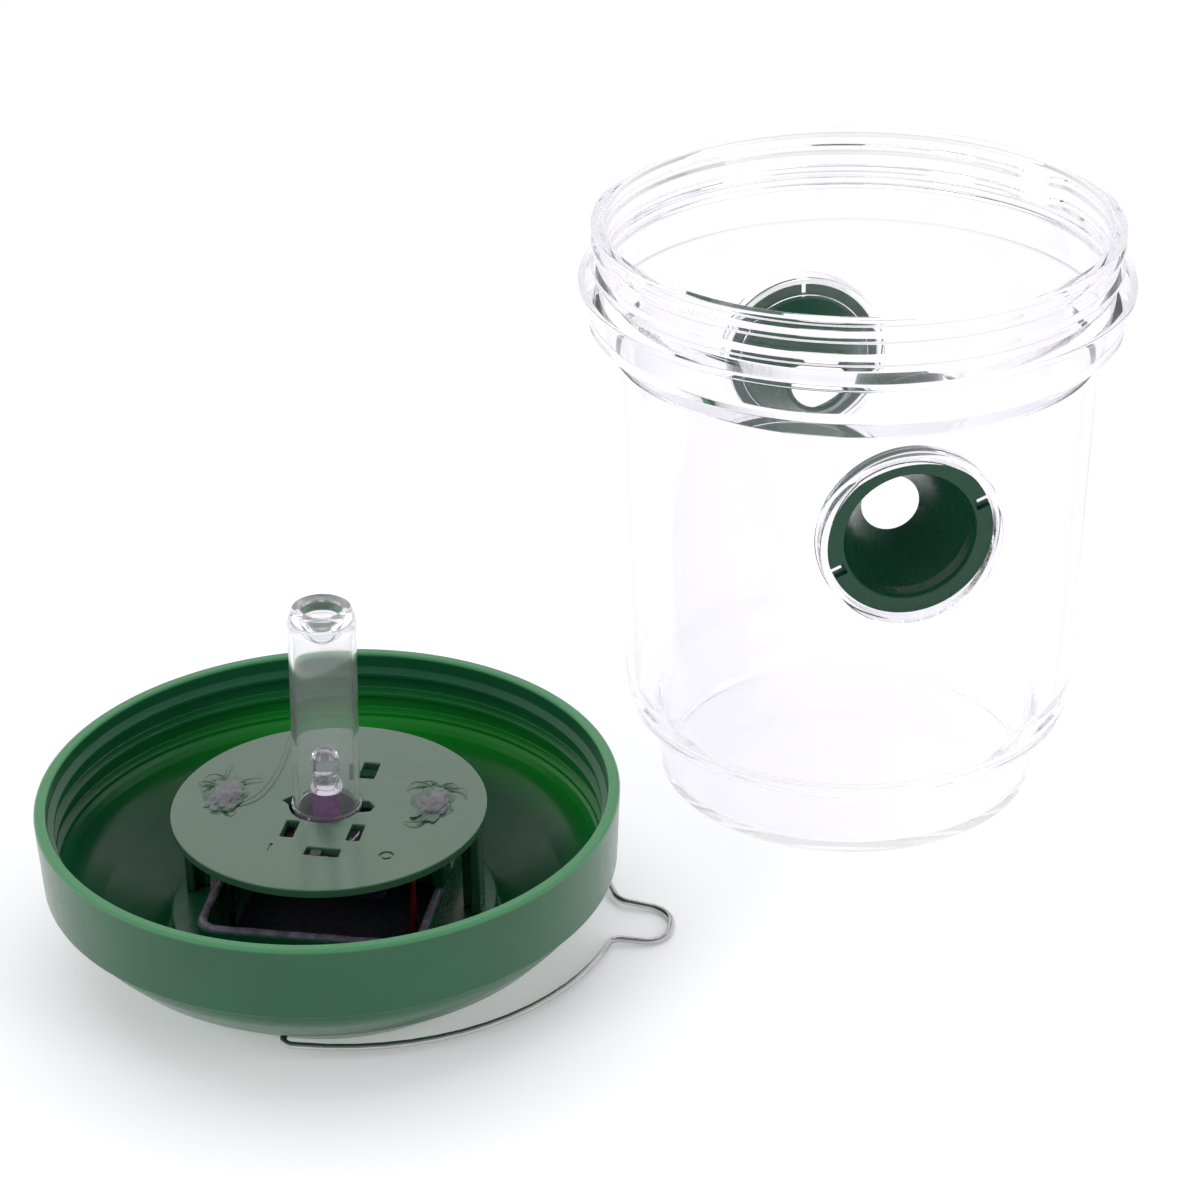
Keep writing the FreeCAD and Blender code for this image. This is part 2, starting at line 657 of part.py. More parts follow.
def make_control_board():
    (left, low), (right, high) = BOARD_BOX
    body = new_body("control_board", LID_PLACE)
    outline = new_sketch(body, "outline", "XY_Plane", board_top - board_thickness)
    draw_box(outline, (left + right) / 2, (low + high) / 2, right - left, high - low, 1.5)
    feature(body, "Pad", "sheet", outline, Length=board_thickness)
    holes = new_sketch(body, "pin_outline", "XY_Plane", board_top + PAST)
    for offset in PIN_OFFSETS:
        draw_circle(holes, SWITCH_AT[0] + offset, SWITCH_AT[1], 0.5)
    feature(body, "Pocket", "pins", holes, Length=board_thickness + PAST * 2)


def make_board_parts():
    chip = new_body("control_chip", LID_PLACE)
    chip_outline = new_sketch(chip, "outline", "XY_Plane", board_top + TOUCH)
    draw_box(chip_outline, *CHIP_AT, 3.9, 4.9)
    feature(chip, "Pad", "package", chip_outline, Length=as_size(1.5))

    coil = new_body("coil_inductor", LID_PLACE.multiply(
        Placement(Vector(*COIL_AT, board_top.value + TOUCH), Rotation())))
    revolve(coil, "spool", [
        (0, 0), (2.6, 0), (2.6, 0.6), (2.1, 0.8), (2.1, 2.6), (2.6, 2.8), (2.6, 3.4), (0, 3.4),
    ])

    resistor = new_body("resistor", LID_PLACE.multiply(
        Placement(Vector(*RESISTOR_AT, board_top.value + 1.0), Rotation(Vector(0, 1, 0), 90))))
    revolve(resistor, "barrel", [
        (0, -2.3), (0.27, -2.3), (0.27, -1.75), (0.9, -1.5), (0.9, -1.0), (0.75, -0.8), (0.75, 0.8),
        (0.9, 1.0), (0.9, 1.5), (0.27, 1.75), (0.27, 2.3), (0, 2.3),
    ])


def make_switch():
    """Slide switch: insulating base, pins through the board, sheet-metal case and knob."""
    x, y = SWITCH_AT
    base_height = as_size(1.4)
    base = new_body("switch_base", LID_PLACE)
    base_outline = new_sketch(base, "outline", "XY_Plane", board_top + TOUCH)
    inner_length = switch_length - switch_sheet * 2
    inner_width = switch_width - switch_sheet * 2
    draw_box(base_outline, x, y, inner_length - TOUCH * 2, inner_width - TOUCH * 2)
    feature(base, "Pad", "block", base_outline, Length=base_height)

    pins = []
    for index, offset in enumerate(PIN_OFFSETS):
        pin = doc.addObject("Part::Cylinder", f"switch_pin_{index}")
        bind(pin, "Radius", 0.35)
        bind(pin, "Height", board_thickness + 1.0)
        bind(pin, "Placement.Base.x", x + offset)
        bind(pin, "Placement.Base.y", y)
        bind(pin, "Placement.Base.z", board_top - board_thickness - 1.0)
        pins.append(pin)
    pin_group = doc.addObject("Part::Compound", "switch_pins")
    pin_group.Links = pins
    finish_node(pin_group, "switch_pins", LID_PLACE)

    case = new_body("switch_case", LID_PLACE)
    case_outline = new_sketch(case, "outline", "XY_Plane", board_top + TOUCH)
    draw_box(case_outline, x, y, switch_length, switch_width)
    feature(case, "Pad", "block", case_outline, Length=switch_height)
    hollow = new_sketch(case, "hollow_outline", "XY_Plane", board_top - PAST)
    draw_box(hollow, x, y, inner_length, inner_width)
    feature(case, "Pocket", "hollow", hollow, Length=switch_height - switch_sheet + PAST, Reversed=True)
    slot = new_sketch(case, "slot_outline", "XY_Plane", board_top + switch_height + PAST)
    draw_box(slot, x, y, knob_width + knob_travel + 0.4, knob_width + 0.4)
    feature(case, "Pocket", "slot", slot, Length=switch_sheet + PAST * 1.3)

    knob = new_body("switch_knob", LID_PLACE)
    foot_level = board_top + base_height + 0.2
    foot = new_sketch(knob, "foot_outline", "XY_Plane", foot_level)
    draw_box(foot, x + KNOB_REST, y, 3.4, 2.5)
    foot_height = switch_height - switch_sheet - base_height - 0.4
    feature(knob, "Pad", "foot", foot, Length=foot_height)
    stem = new_sketch(knob, "stem_outline", "XY_Plane", foot_level)
    draw_box(stem, x + KNOB_REST, y, knob_width, knob_width)
    feature(knob, "Pad", "stem", stem, Length=cover_top - 0.3 - foot_level)


def make_cell():
    """Rechargeable cell lying across the module behind the board, and its welded tabs."""
    x, y = CELL_AT
    middle = cover_top.value - cover_thickness.value - cell_radius.value - 0.15
    body = new_body("rechargeable_cell", LID_PLACE.multiply(
        Placement(Vector(x, y, middle), Rotation(Vector(0, 1, 0), 90))))
    half = cell_length / 2
    revolve(body, "can", [
        (0, -half), (cell_radius - 0.4, -half), (cell_radius, -half + 0.4),
        (cell_radius, half - 2.2), (cell_radius - 0.35, half - 1.8), (cell_radius, half - 1.4),
        (cell_radius, half - 0.6), (cell_radius - 0.6, half - 0.1), (2.2, half - 0.1), (2.2, half),
        (0, half),
    ])
    tabs = []
    tab_sheet, tab_length, tab_width = 0.2, 8.4, 3.0
    for index, end in enumerate((-1, 1)):
        left = (half + tab_sheet / 2 + TOUCH) * end + x - tab_sheet / 2
        corner = (left, as_size(y - 7.4), as_size(middle - tab_width / 2))
        tabs.append(block(f"cell_tab_{index}", corner, (tab_sheet, tab_length, tab_width)))
    tab_group = doc.addObject("Part::Compound", "cell_tabs")
    tab_group.Links = tabs
    finish_node(tab_group, "cell_tabs", LID_PLACE)


def sweep(body, path_steps, plane, level, section):
    """Round wire along an open path; section is the sketch that already holds its circle."""
    path = new_sketch(body, "path", plane, level)
    draw(path, path_steps, closed=False)
    pipe = body.newObject("PartDesign::AdditivePipe", f"{body.Label}_pipe")
    pipe.Profile = section
    pipe.Spine = (path, [f"Edge{index + 1}" for index in range(len(path_steps) - 1)])


def make_wire(label, side, end_x):
    """Wire from the panel's back, up through the well and over the board's edge to its top."""
    body = new_body(label, LID_PLACE)
    riser_x, top, bend, solder_bend = 17.0, board_top.value + 2.2, 3.6, 1.6
    foot = lid_wall.value - 0.6
    section = new_sketch(body, "section", "XY_Plane", as_size(foot))
    draw_circle(section, side * riser_x, WIRE_Y, wire_radius)
    steps = rounded([
        (side * riser_x, foot), (side * riser_x, top, bend), (side * end_x, top, solder_bend),
        (side * end_x, board_top.value + 0.05),
    ])
    sweep(body, steps, "XZ_Plane", as_size(-WIRE_Y), section)


# ---------------------------------------------------------------- bail

def make_bail():
    """Hanging wire: two pivot ends in the lid, two long arcs and a hook bump between them.

    It is drawn flat in its own plane, pivot axis along Y, and lies with the bump's tip on the floor.
    """
    drop = bail_pivot_level.value - bail_wire_radius.value
    slope = math.degrees(math.asin(drop / bail_reach.value))
    place = LID_PLACE.multiply(Placement(
        Vector(0, 0, bail_pivot_level.value), Rotation(Vector(0, 1, 0), slope)))
    body = new_body("bail_handle", place)
    near_end, far_end, shank = -34.6, 34.6, 41.2
    section = new_sketch(body, "section", "XZ_Plane", as_size(-near_end))
    draw_circle(section, 0, 0, bail_wire_radius)
    steps = rounded([
        (0, near_end), (0, -shank, 1.8), (42.3, -36.6, 54.0), (51.1, 5.4, 2.4), (61.3, 6.2, 4.8),
        (60.9, 17.0, 5.0), (50.2, 18.2, 3.6), (38.0, 42.8, 34.0), (0, shank, 1.8), (0, far_end),
    ])
    sweep(body, steps, "XY_Plane", as_size(0), section)


# ---------------------------------------------------------------- build, check and write

def build():
    make_jar()
    make_entry_cone("front_entry_cone", 0, 23)
    make_entry_cone("rear_entry_cone", 180, 90)
    make_lid_shell()
    make_panel()
    make_module_base()
    make_sealant()
    make_module_cover()
    make_glue_blob("left", -19.5, 0.2)
    make_glue_blob("right", 18.6, 3.0)
    make_light_tube()
    make_diode()
    make_control_board()
    make_board_parts()
    make_switch()
    make_cell()
    make_wire("red_wire", 1, 7.0)
    make_wire("black_wire", -1, 6.2)
    make_bail()
    doc.recompute()


def check():
    """Stop with a plain message if any object failed or any node's shape is unusable."""
    for item in doc.Objects:
        if any(flag in item.State for flag in ("Invalid", "Error")):
            raise RuntimeError(f"{item.Label} failed: {item.State}")
    for node in nodes:
        if node.Shape.isNull() or not node.Shape.isValid():
            raise RuntimeError(f"{node.Label} has no valid shape")


def write():
    os.makedirs("parts", exist_ok=True)
    for node in nodes:
        node.Shape.exportStep(f"parts/{node.Label}.step")
        print(f"{node.Label:20s} volume {node.Shape.Volume:10.2f} mm3, solids {len(node.Shape.Solids)}")


build()
check()
write()
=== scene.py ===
import json
import math
import random

import bmesh
import bpy
from mathutils import Matrix, Vector, noise


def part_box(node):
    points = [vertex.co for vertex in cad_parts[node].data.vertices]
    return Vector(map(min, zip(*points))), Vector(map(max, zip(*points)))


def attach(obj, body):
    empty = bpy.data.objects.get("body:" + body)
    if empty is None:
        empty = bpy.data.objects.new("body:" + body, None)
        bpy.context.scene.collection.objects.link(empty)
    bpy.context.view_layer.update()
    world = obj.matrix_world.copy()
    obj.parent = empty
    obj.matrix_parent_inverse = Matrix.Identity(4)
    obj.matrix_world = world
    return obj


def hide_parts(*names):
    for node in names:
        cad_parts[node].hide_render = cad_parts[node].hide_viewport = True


# Hanging insect trap: clear screw jar with two green entry cones, and beside it the green lid, upside
# down, with its solar light module, light tube and wire bail. Lengths below are millimetres and MM
# turns them into metres; the lid's pieces are drawn in the lid's bench frame (its flat top face on
# the floor, origin at its centre) and placed by LID.

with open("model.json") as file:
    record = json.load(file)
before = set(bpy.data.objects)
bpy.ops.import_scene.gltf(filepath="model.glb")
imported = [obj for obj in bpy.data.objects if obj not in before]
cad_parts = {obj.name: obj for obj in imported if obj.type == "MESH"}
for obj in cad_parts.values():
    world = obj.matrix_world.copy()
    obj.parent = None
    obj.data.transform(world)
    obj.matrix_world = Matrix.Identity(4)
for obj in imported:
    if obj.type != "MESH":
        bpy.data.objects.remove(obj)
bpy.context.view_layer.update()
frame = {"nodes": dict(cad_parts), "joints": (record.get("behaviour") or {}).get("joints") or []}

MM = 0.001
TURN = 2 * math.pi


# ---------------------------------------------------------------- places, read from the frame

def joint(name):
    """The frame's entry for one joint."""
    return [item for item in frame["joints"] if item["name"] == name][0]


def lid_matrix():
    """The lid's bench frame: centre of the shell's box, +Y along the bail's pivot axis."""
    low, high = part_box("lid_shell")
    axis = joint("bail_pivot")["axis"]
    turn = math.atan2(-axis[0], axis[1])
    centre = Vector(((low.x + high.x) / 2, (low.y + high.y) / 2, low.z))
    return Matrix.Translation(centre) @ Matrix.Rotation(turn, 4, "Z")


LID = lid_matrix()
JAR_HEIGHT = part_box("jar")[1].z / MM
CONE_LEVEL = sum(corner.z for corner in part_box("front_entry_cone")) / 2 / MM


# ---------------------------------------------------------------- mesh tools

SHARP_ANGLE = 40.0
PLATE_SHARP_ANGLE = 35.0


def scene_object(name, data):
    """A new object in the scene."""
    made = bpy.data.objects.new(name, data)
    bpy.context.scene.collection.objects.link(made)
    return made


def mesh_object(name, vertices, faces, place, sharp=SHARP_ANGLE):
    """A mesh from points in mm, tidied and then placed."""
    mesh = bpy.data.meshes.new(name)
    mesh.from_pydata([tuple(Vector(v) * MM) for v in vertices], [], faces)
    tidy_mesh(mesh, sharp)
    mesh.transform(place)
    return scene_object(name, mesh)


def tidy_mesh(mesh, sharp=SHARP_ANGLE):
    """Welds doubled points, turns the faces outward and shades smooth up to the sharp angle."""
    work = bmesh.new()
    work.from_mesh(mesh)
    bmesh.ops.remove_doubles(work, verts=work.verts, dist=1e-6)
    bmesh.ops.recalc_face_normals(work, faces=work.faces)
    work.to_mesh(mesh)
    work.free()
    mesh.shade_smooth()
    mesh.set_sharp_from_angle(angle=math.radians(sharp))


def corner_arc(before, here, after, radius, step):
    """Points of the arc of that radius that rounds off one corner of a flat outline."""
    before, here, after = Vector(before[:2]), Vector(here[:2]), Vector(after[:2])
    arriving, leaving = (here - before).normalized(), (after - here).normalized()
    turn = math.atan2(arriving.x * leaving.y - arriving.y * leaving.x, arriving.dot(leaving))
    if abs(turn) < 1e-3:
        return [here]
    start = here - arriving * radius * math.tan(abs(turn) / 2)
    inward = Vector((-arriving.y, arriving.x)) * math.copysign(1.0, turn)
    centre = start + inward * radius
    pieces = max(2, round(math.degrees(abs(turn)) / step))
    points = []
    for piece in range(pieces + 1):
        points.append(centre + Matrix.Rotation(turn * piece / pieces, 2) @ (start - centre))
    return points


def soften(corners, step=12.0):
    """A closed outline whose corners (x, y, radius) become arcs; plain (x, y) corners stay."""
    points = []
    for index, corner in enumerate(corners):
        if len(corner) == 2:
            points.append(Vector(corner))
            continue
        after = corners[(index + 1) % len(corners)]
        points += corner_arc(corners[index - 1], corner, after, corner[2], step)
    return points


def lathe(name, outline, segments, place=Matrix.Identity(4), shape=None):
    """Turns a closed outline (radius, level) about Z. shape(radius, level, angle) may move a point."""
    vertices, rings = [], []
    for point in outline:
        if point.x < 1e-6:
            rings.append([len(vertices)] * segments)
            vertices.append((0.0, 0.0, point.y))
            continue
        rings.append(list(range(len(vertices), len(vertices) + segments)))
        for index in range(segments):
            angle = TURN * index / segments
            radius, level = shape(point.x, point.y, angle) if shape else point
            vertices.append((radius * math.cos(angle), radius * math.sin(angle), level))
    faces = []
    for ring, after in zip(rings, rings[1:] + rings[:1]):
        for index in range(segments):
            following = (index + 1) % segments
            corners = [ring[index], ring[following], after[following], after[index]]
            face = list(dict.fromkeys(corners))
            if len(face) > 2:
                faces.append(face)
    return mesh_object(name, vertices, faces, place)


def extrude(name, outer, holes, low, high, rounding=0.0, place=Matrix.Identity(4)):
    """A plate between two levels from an outline with holes, its edges rounded."""
    curve = bpy.data.curves.new(name, "CURVE")
    curve.dimensions = "2D"
    curve.fill_mode = "BOTH"
    curve.extrude = ((high - low) / 2 - rounding) * MM
    curve.bevel_depth = rounding * MM
    curve.bevel_resolution = 2
    curve.offset = -rounding * MM
    for points in [outer] + holes:
        spline = curve.splines.new("POLY")
        spline.points.add(len(points) - 1)
        for item, point in zip(spline.points, points):
            item.co = (point[0] * MM, point[1] * MM, 0.0, 1.0)
        spline.use_cyclic_u = True
    holder = scene_object(name, curve)
    mesh = evaluated_mesh(holder)
    bpy.data.objects.remove(holder)
    mesh.transform(Matrix.Translation((0, 0, (low + high) / 2 * MM)))
    tidy_mesh(mesh, PLATE_SHARP_ANGLE)
    mesh.transform(place)
    return scene_object(name, mesh)


def evaluated_mesh(source):
    """The mesh that an object has once its modifiers and curve settings are applied."""
    return bpy.data.meshes.new_from_object(source.evaluated_get(bpy.context.evaluated_depsgraph_get()))


def ring_points(x, y, radius, count):
    """Points of a circle."""
    return [(x + radius * math.cos(TURN * i / count), y + radius * math.sin(TURN * i / count))
            for i in range(count)]


def box_points(x, y, width, height, corner):
    """Points of a rectangle about a centre, with round corners."""
    half_x, half_y = width / 2, height / 2
    corners = [(-half_x, -half_y), (half_x, -half_y), (half_x, half_y), (-half_x, half_y)]
    return [tuple(point) for point in soften([(x + a, y + b, corner) for a, b in corners], step=15.0)]


def heading(path, index):
    """Direction of a path at one of its points."""
    return (path[min(index + 1, len(path) - 1)] - path[max(index - 1, 0)]).normalized()


def skin(rings, sides):
    """Faces that join equal rings of points one after another and close both ends."""
    faces = []
    for index in range(rings - 1):
        low, high = index * sides, (index + 1) * sides
        for step in range(sides):
            following = (step + 1) % sides
            faces.append([low + step, low + following, high + following, high + step])
    last = (rings - 1) * sides
    return faces + [list(range(sides)), list(range(last, last + sides))]


def tube(name, path, radius, sides, place=Matrix.Identity(4)):
    """A round wire along a path of points in mm; radius may be one number or one per point."""
    path = [Vector(point) for point in path]
    radii = radius if hasattr(radius, "__len__") else [radius] * len(path)
    side = heading(path, 0).orthogonal().normalized()
    vertices = []
    for index, point in enumerate(path):
        ahead = heading(path, index)
        side = (side - ahead * side.dot(ahead)).normalized()
        other = ahead.cross(side)
        for step in range(sides):
            angle = TURN * step / sides
            vertices.append(point + (side * math.cos(angle) + other * math.sin(angle)) * radii[index])
    return mesh_object(name, vertices, skin(len(path), sides), place, 50.0)


def smooth_path(points, resolution):
    """Points along a smooth curve through the neighbourhood of the given ones."""
    curve = bpy.data.curves.new("path", "CURVE")
    curve.dimensions = "3D"
    spline = curve.splines.new("NURBS")
    spline.points.add(len(points) - 1)
    for item, point in zip(spline.points, points):
        item.co = (*point, 1.0)
    spline.order_u = 3
    spline.use_endpoint_u = True
    spline.resolution_u = resolution
    holder = bpy.data.objects.new("path", curve)
    mesh = bpy.data.meshes.new_from_object(holder)
    line = [vertex.co.copy() for vertex in mesh.vertices]
    bpy.data.objects.remove(holder)
    return line


def combine(made, operation, *others):
    """Boolean with other objects, which are used up."""
    for other in others:
        modifier = made.modifiers.new("boolean", "BOOLEAN")
        modifier.operation = operation
        modifier.object = other
        modifier.solver = "EXACT"
        mesh = evaluated_mesh(made)
        made.modifiers.clear()
        made.data = mesh
        tidy_mesh(mesh)
        bpy.data.objects.remove(other)


def join(made, *others):
    """Adds other objects' meshes to one piece; the others are used up."""
    work = bmesh.new()
    for item in (made, *others):
        work.from_mesh(item.data)
    work.to_mesh(made.data)
    work.free()
    for other in others:
        bpy.data.objects.remove(other)


def block(name, centre, size, rounding=0.0, place=Matrix.Identity(4)):
    """A rectangular bar with rounded edges."""
    corner = max(rounding * 1.6, 0.05)
    low = centre[2] - size[2] / 2
    outline = box_points(*centre[:2], *size[:2], corner)
    return extrude(name, outline, [], low, low + size[2], rounding, place)


def let_light_through(made):
    """Clear pieces cast no shadow and block no bounced light."""
    made.visible_shadow = False
    made.visible_diffuse = False


def place_piece(made, body, slot, material, *nodes):
    """Puts a finished piece on its body with its material and hides the nodes it stands for; its slot is
    not used.
    """
    made.data.materials.clear()
    made.data.materials.append(material)
    normals = made.modifiers.new("normals", "WEIGHTED_NORMAL")
    normals.keep_sharp = True
    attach(made, body)
    if nodes:
        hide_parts(*nodes)


# ---------------------------------------------------------------- materials

def shader(name, **settings):
    """A Principled material; settings are socket names with _ for spaces."""
    material = bpy.data.materials.new(name)
    material.use_nodes = True
    node = material.node_tree.nodes["Principled BSDF"]
    for key, value in settings.items():
        node.inputs[key.replace("_", " ")].default_value = value
    return material, material.node_tree, node


def add(tree, kind, **settings):
    """A new node; settings are values of its input sockets or its own properties."""
    node = tree.nodes.new(kind)
    for key, value in settings.items():
        if key in node.inputs:
            node.inputs[key].default_value = value
        else:
            setattr(node, key, value)
    return node


def grain(tree, scale, detail, stretch=(1, 1, 1)):
    """Noise in the piece's own coordinates, so that it rides with the piece."""
    where = add(tree, "ShaderNodeTexCoord")
    mapping = add(tree, "ShaderNodeMapping")
    mapping.inputs["Scale"].default_value = stretch
    texture = add(tree, "ShaderNodeTexNoise", Scale=scale, Detail=detail)
    tree.links.new(where.outputs["Object"], mapping.inputs["Vector"])
    tree.links.new(mapping.outputs["Vector"], texture.inputs["Vector"])
    return texture.outputs["Fac"]


def ramp(tree, source, low, high, start=0.35, end=0.65):
    """Maps a 0..1 value to a colour or number between two."""
    node = add(tree, "ShaderNodeValToRGB")
    first, last = node.color_ramp.elements
    first.position, last.position = start, end
    first.color = low if hasattr(low, "__len__") else (low, low, low, 1)
    last.color = high if hasattr(high, "__len__") else (high, high, high, 1)
    tree.links.new(source, node.inputs["Fac"])
    return node.outputs["Color"]


def bump(tree, node, source, strength, distance):
    """Relief of a 0..1 height; distance is in mm."""
    made = add(tree, "ShaderNodeBump", Strength=strength, Distance=distance * MM)
    tree.links.new(source, made.inputs["Height"])
    tree.links.new(made.outputs["Normal"], node.inputs["Normal"])


def green_plastic(name, low, high, rough, **more):
    """Moulded green plastic: a little light soaks through it, and noise breaks up its colour and gloss."""
    material, tree, node = shader(name, IOR=1.5, Subsurface_Weight=0.25, Subsurface_Scale=0.001, **more)
    node.inputs["Subsurface Radius"].default_value = (0.1, 1.0, 0.3)
    tree.links.new(ramp(tree, grain(tree, 45, 3), (*low, 1), (*high, 1)), node.inputs["Base Color"])
    tree.links.new(ramp(tree, grain(tree, 420, 3), *rough), node.inputs["Roughness"])
    bump(tree, node, grain(tree, 1400, 3), 0.05, 0.03)
    return material


def product_of(tree, *values):
    """Product of several 0..1 values."""
    product = values[0]
    for value in values[1:]:
        node = add(tree, "ShaderNodeMath", operation="MULTIPLY")
        tree.links.new(product, node.inputs[0])
        tree.links.new(value, node.inputs[1])
        product = node.outputs["Value"]
    return product


def dot_with(tree, source, direction):
    """Dot product of a vector with a fixed or a linked direction."""
    node = add(tree, "ShaderNodeVectorMath", operation="DOT_PRODUCT")
    tree.links.new(source, node.inputs[0])
    if hasattr(direction, "__len__"):
        node.inputs[1].default_value = direction
    else:
        tree.links.new(direction, node.inputs[1])
    return node.outputs["Value"]


def tinted(tree, base, colour, share):
    """A colour laid over a base by a 0..1 share."""
    mix = add(tree, "ShaderNodeMix", data_type="RGBA")
    mix.inputs["B"].default_value = colour
    tree.links.new(base, mix.inputs["A"])
    tree.links.new(share, mix.inputs["Factor"])
    return mix.outputs["Result"]


def from_lid_axis(tree, position):
    """Level direction from the lid's axis to the shaded point."""
    offset = add(tree, "ShaderNodeVectorMath", operation="SUBTRACT")
    offset.inputs[1].default_value = LID.translation
    flat = add(tree, "ShaderNodeVectorMath", operation="MULTIPLY")
    flat.inputs[1].default_value = (1, 1, 0)
    outward = add(tree, "ShaderNodeVectorMath", operation="NORMALIZE")
    tree.links.new(position, offset.inputs[0])
    tree.links.new(offset.outputs["Vector"], flat.inputs[0])
    tree.links.new(flat.outputs["Vector"], outward.inputs[0])
    return outward.outputs["Vector"]


LEVEL_SPAN = 40.0
# Painted glow: a lighter green laid into the lid's colour inside, between two levels and towards one side,
# standing for light soaking through the thin wall.
GLOW_FROM = (11.0, 16.5)
GLOW_TO = (18.5, 27.0)
GLOW_SIDE = (0.45, 0.89, 0)
PAINTED_GLOW_GREEN = (0.008, 0.25, 0.020, 1)
# Painted highlight: the lid's lip is lightened in its colour, standing for light caught on its rounded
# edge.
LIP_LEVELS = (31.9, 32.4)
PAINTED_LIP_GREEN = (0.07, 0.26, 0.11, 1)


def level_ramp(tree, level, levels, low=0.0, high=1.0):
    """Goes from low to high between two levels in mm; level is a share of LEVEL_SPAN."""
    return ramp(tree, level, low, high, levels[0] / LEVEL_SPAN, levels[1] / LEVEL_SPAN)


def lid_plastic():
    """The lid's green with light painted into it: a painted highlight that lightens the lip, and a painted
    glow inside, between the lowest thread ridge and the sloping floor, on the side away from the entry
    cones' front, standing for light soaking through the wall."""
    material = green_plastic("lid_green", (0.006, 0.078, 0.029), (0.009, 0.090, 0.035), (0.22, 0.27),
                             Specular_IOR_Level=0.4, Coat_Weight=0.1, Coat_Roughness=0.3)
    tree = material.node_tree
    colour = tree.nodes["Principled BSDF"].inputs["Base Color"]
    where = add(tree, "ShaderNodeTexCoord")
    outward = from_lid_axis(tree, where.outputs["Object"])
    level = dot_with(tree, where.outputs["Object"], (0, 0, 1 / (LEVEL_SPAN * MM)))
    facing_out = ramp(tree, dot_with(tree, where.outputs["Normal"], outward), 0.0, 1.0, 0.0, 0.3)
    facing_in = add(tree, "ShaderNodeMath", operation="SUBTRACT")
    facing_in.inputs[0].default_value = 1.0
    tree.links.new(facing_out, facing_in.inputs[1])
    # Painted glow mask: inward-facing surfaces between GLOW_FROM and GLOW_TO, strongest towards GLOW_SIDE.
    above = level_ramp(tree, level, GLOW_FROM)
    below = level_ramp(tree, level, GLOW_TO, 1.0, 0.0)
    away = ramp(tree, dot_with(tree, outward, GLOW_SIDE), 0.0, 1.0, 0.0, 0.9)
    glow = product_of(tree, facing_in.outputs["Value"], above, below, away)
    with_painted_glow = tinted(tree, colour.links[0].from_socket, PAINTED_GLOW_GREEN, glow)
    # Painted highlight: the lip is lightened above LIP_LEVELS.
    tree.links.new(tinted(tree, with_painted_glow, PAINTED_LIP_GREEN, level_ramp(tree, level, LIP_LEVELS)), colour)
    return material


def edge_tint(tree, node, face_on, edge_on, start):
    """Clear walls take on colour where light crosses them at a slant, as on a long path through them."""
    weight = add(tree, "ShaderNodeLayerWeight")
    weight.inputs["Blend"].default_value = 0.5
    tint = ramp(tree, weight.outputs["Facing"], (*face_on, 1), (*edge_on, 1), start, 1.0)
    tree.links.new(tint, node.inputs["Base Color"])


def clear_plastic():
    """The jar's wall. Its index is below real plastic's, which keeps the rim and ridges light."""
    material, tree, node = shader("clear_plastic", IOR=1.36, Transmission_Weight=1.0)
    edge_tint(tree, node, (0.985, 0.978, 0.997), (0.74, 0.72, 0.83), 0.65)
    tree.links.new(ramp(tree, grain(tree, 120, 4), 0.0, 0.035), node.inputs["Roughness"])
    bump(tree, node, grain(tree, 28, 2, stretch=(1, 1, 0.35)), 0.05, 0.4)
    return material


def tube_glass():
    """The light tube's wall, a little greyer than the jar's."""
    material, tree, node = shader("tube_glass", IOR=1.47, Transmission_Weight=0.96)
    edge_tint(tree, node, (0.97, 0.97, 0.98), (0.34, 0.37, 0.37), 0.6)
    tree.links.new(ramp(tree, grain(tree, 300, 4), 0.0, 0.07), node.inputs["Roughness"])
    bump(tree, node, grain(tree, 160, 2, stretch=(1, 1, 0.3)), 0.06, 0.15)
    return material


def diode_epoxy():
    """The diode's clear body, with a violet tinge."""
    material, tree, node = shader("diode_epoxy", IOR=1.53, Transmission_Weight=1.0,
                                  Base_Color=(0.96, 0.9, 0.985, 1))
    tree.links.new(ramp(tree, grain(tree, 900, 3), 0.01, 0.06), node.inputs["Roughness"])
    return material


def sealant(name, low, high, rough=(0.14, 0.30)):
    """Cured silicone or set glue: soft, milky and slightly lumpy."""
    material, tree, node = shader(name, IOR=1.45, Subsurface_Weight=0.2, Subsurface_Scale=0.001)
    tree.links.new(ramp(tree, grain(tree, 350, 4), (*low, 1), (*high, 1)), node.inputs["Base Color"])
    tree.links.new(ramp(tree, grain(tree, 500, 3), *rough), node.inputs["Roughness"])
    bump(tree, node, grain(tree, 600, 3), 0.12, 0.2)
    return material


def steel_wire():
    """Bright drawn wire."""
    material, tree, node = shader("steel_wire", Metallic=1.0)
    low, high = (0.54, 0.53, 0.52, 1), (0.62, 0.61, 0.60, 1)
    tree.links.new(ramp(tree, grain(tree, 260, 4), low, high), node.inputs["Base Color"])
    tree.links.new(ramp(tree, grain(tree, 500, 3), 0.14, 0.20), node.inputs["Roughness"])
    bump(tree, node, grain(tree, 2200, 3), 0.02, 0.01)
    return material


def tinned_metal():
    """Tinned leads, tabs and the switch's case."""
    material, tree, node = shader("tinned_metal", Metallic=1.0)
    low, high = (0.62, 0.62, 0.6, 1), (0.8, 0.8, 0.78, 1)
    tree.links.new(ramp(tree, grain(tree, 800, 4), low, high), node.inputs["Base Color"])
    tree.links.new(ramp(tree, grain(tree, 1200, 4), 0.18, 0.38), node.inputs["Roughness"])
    return material


def plain(name, low, high, rough):
    """Matt or satin moulded or lacquered surface with its colour broken up by fine noise."""
    material, tree, node = shader(name, IOR=1.48)
    tree.links.new(ramp(tree, grain(tree, 600, 4), (*low, 1), (*high, 1)), node.inputs["Base Color"])
    tree.links.new(ramp(tree, grain(tree, 1020, 4), *rough), node.inputs["Roughness"])
    bump(tree, node, grain(tree, 1800, 3), 0.15, 0.04)
    return material


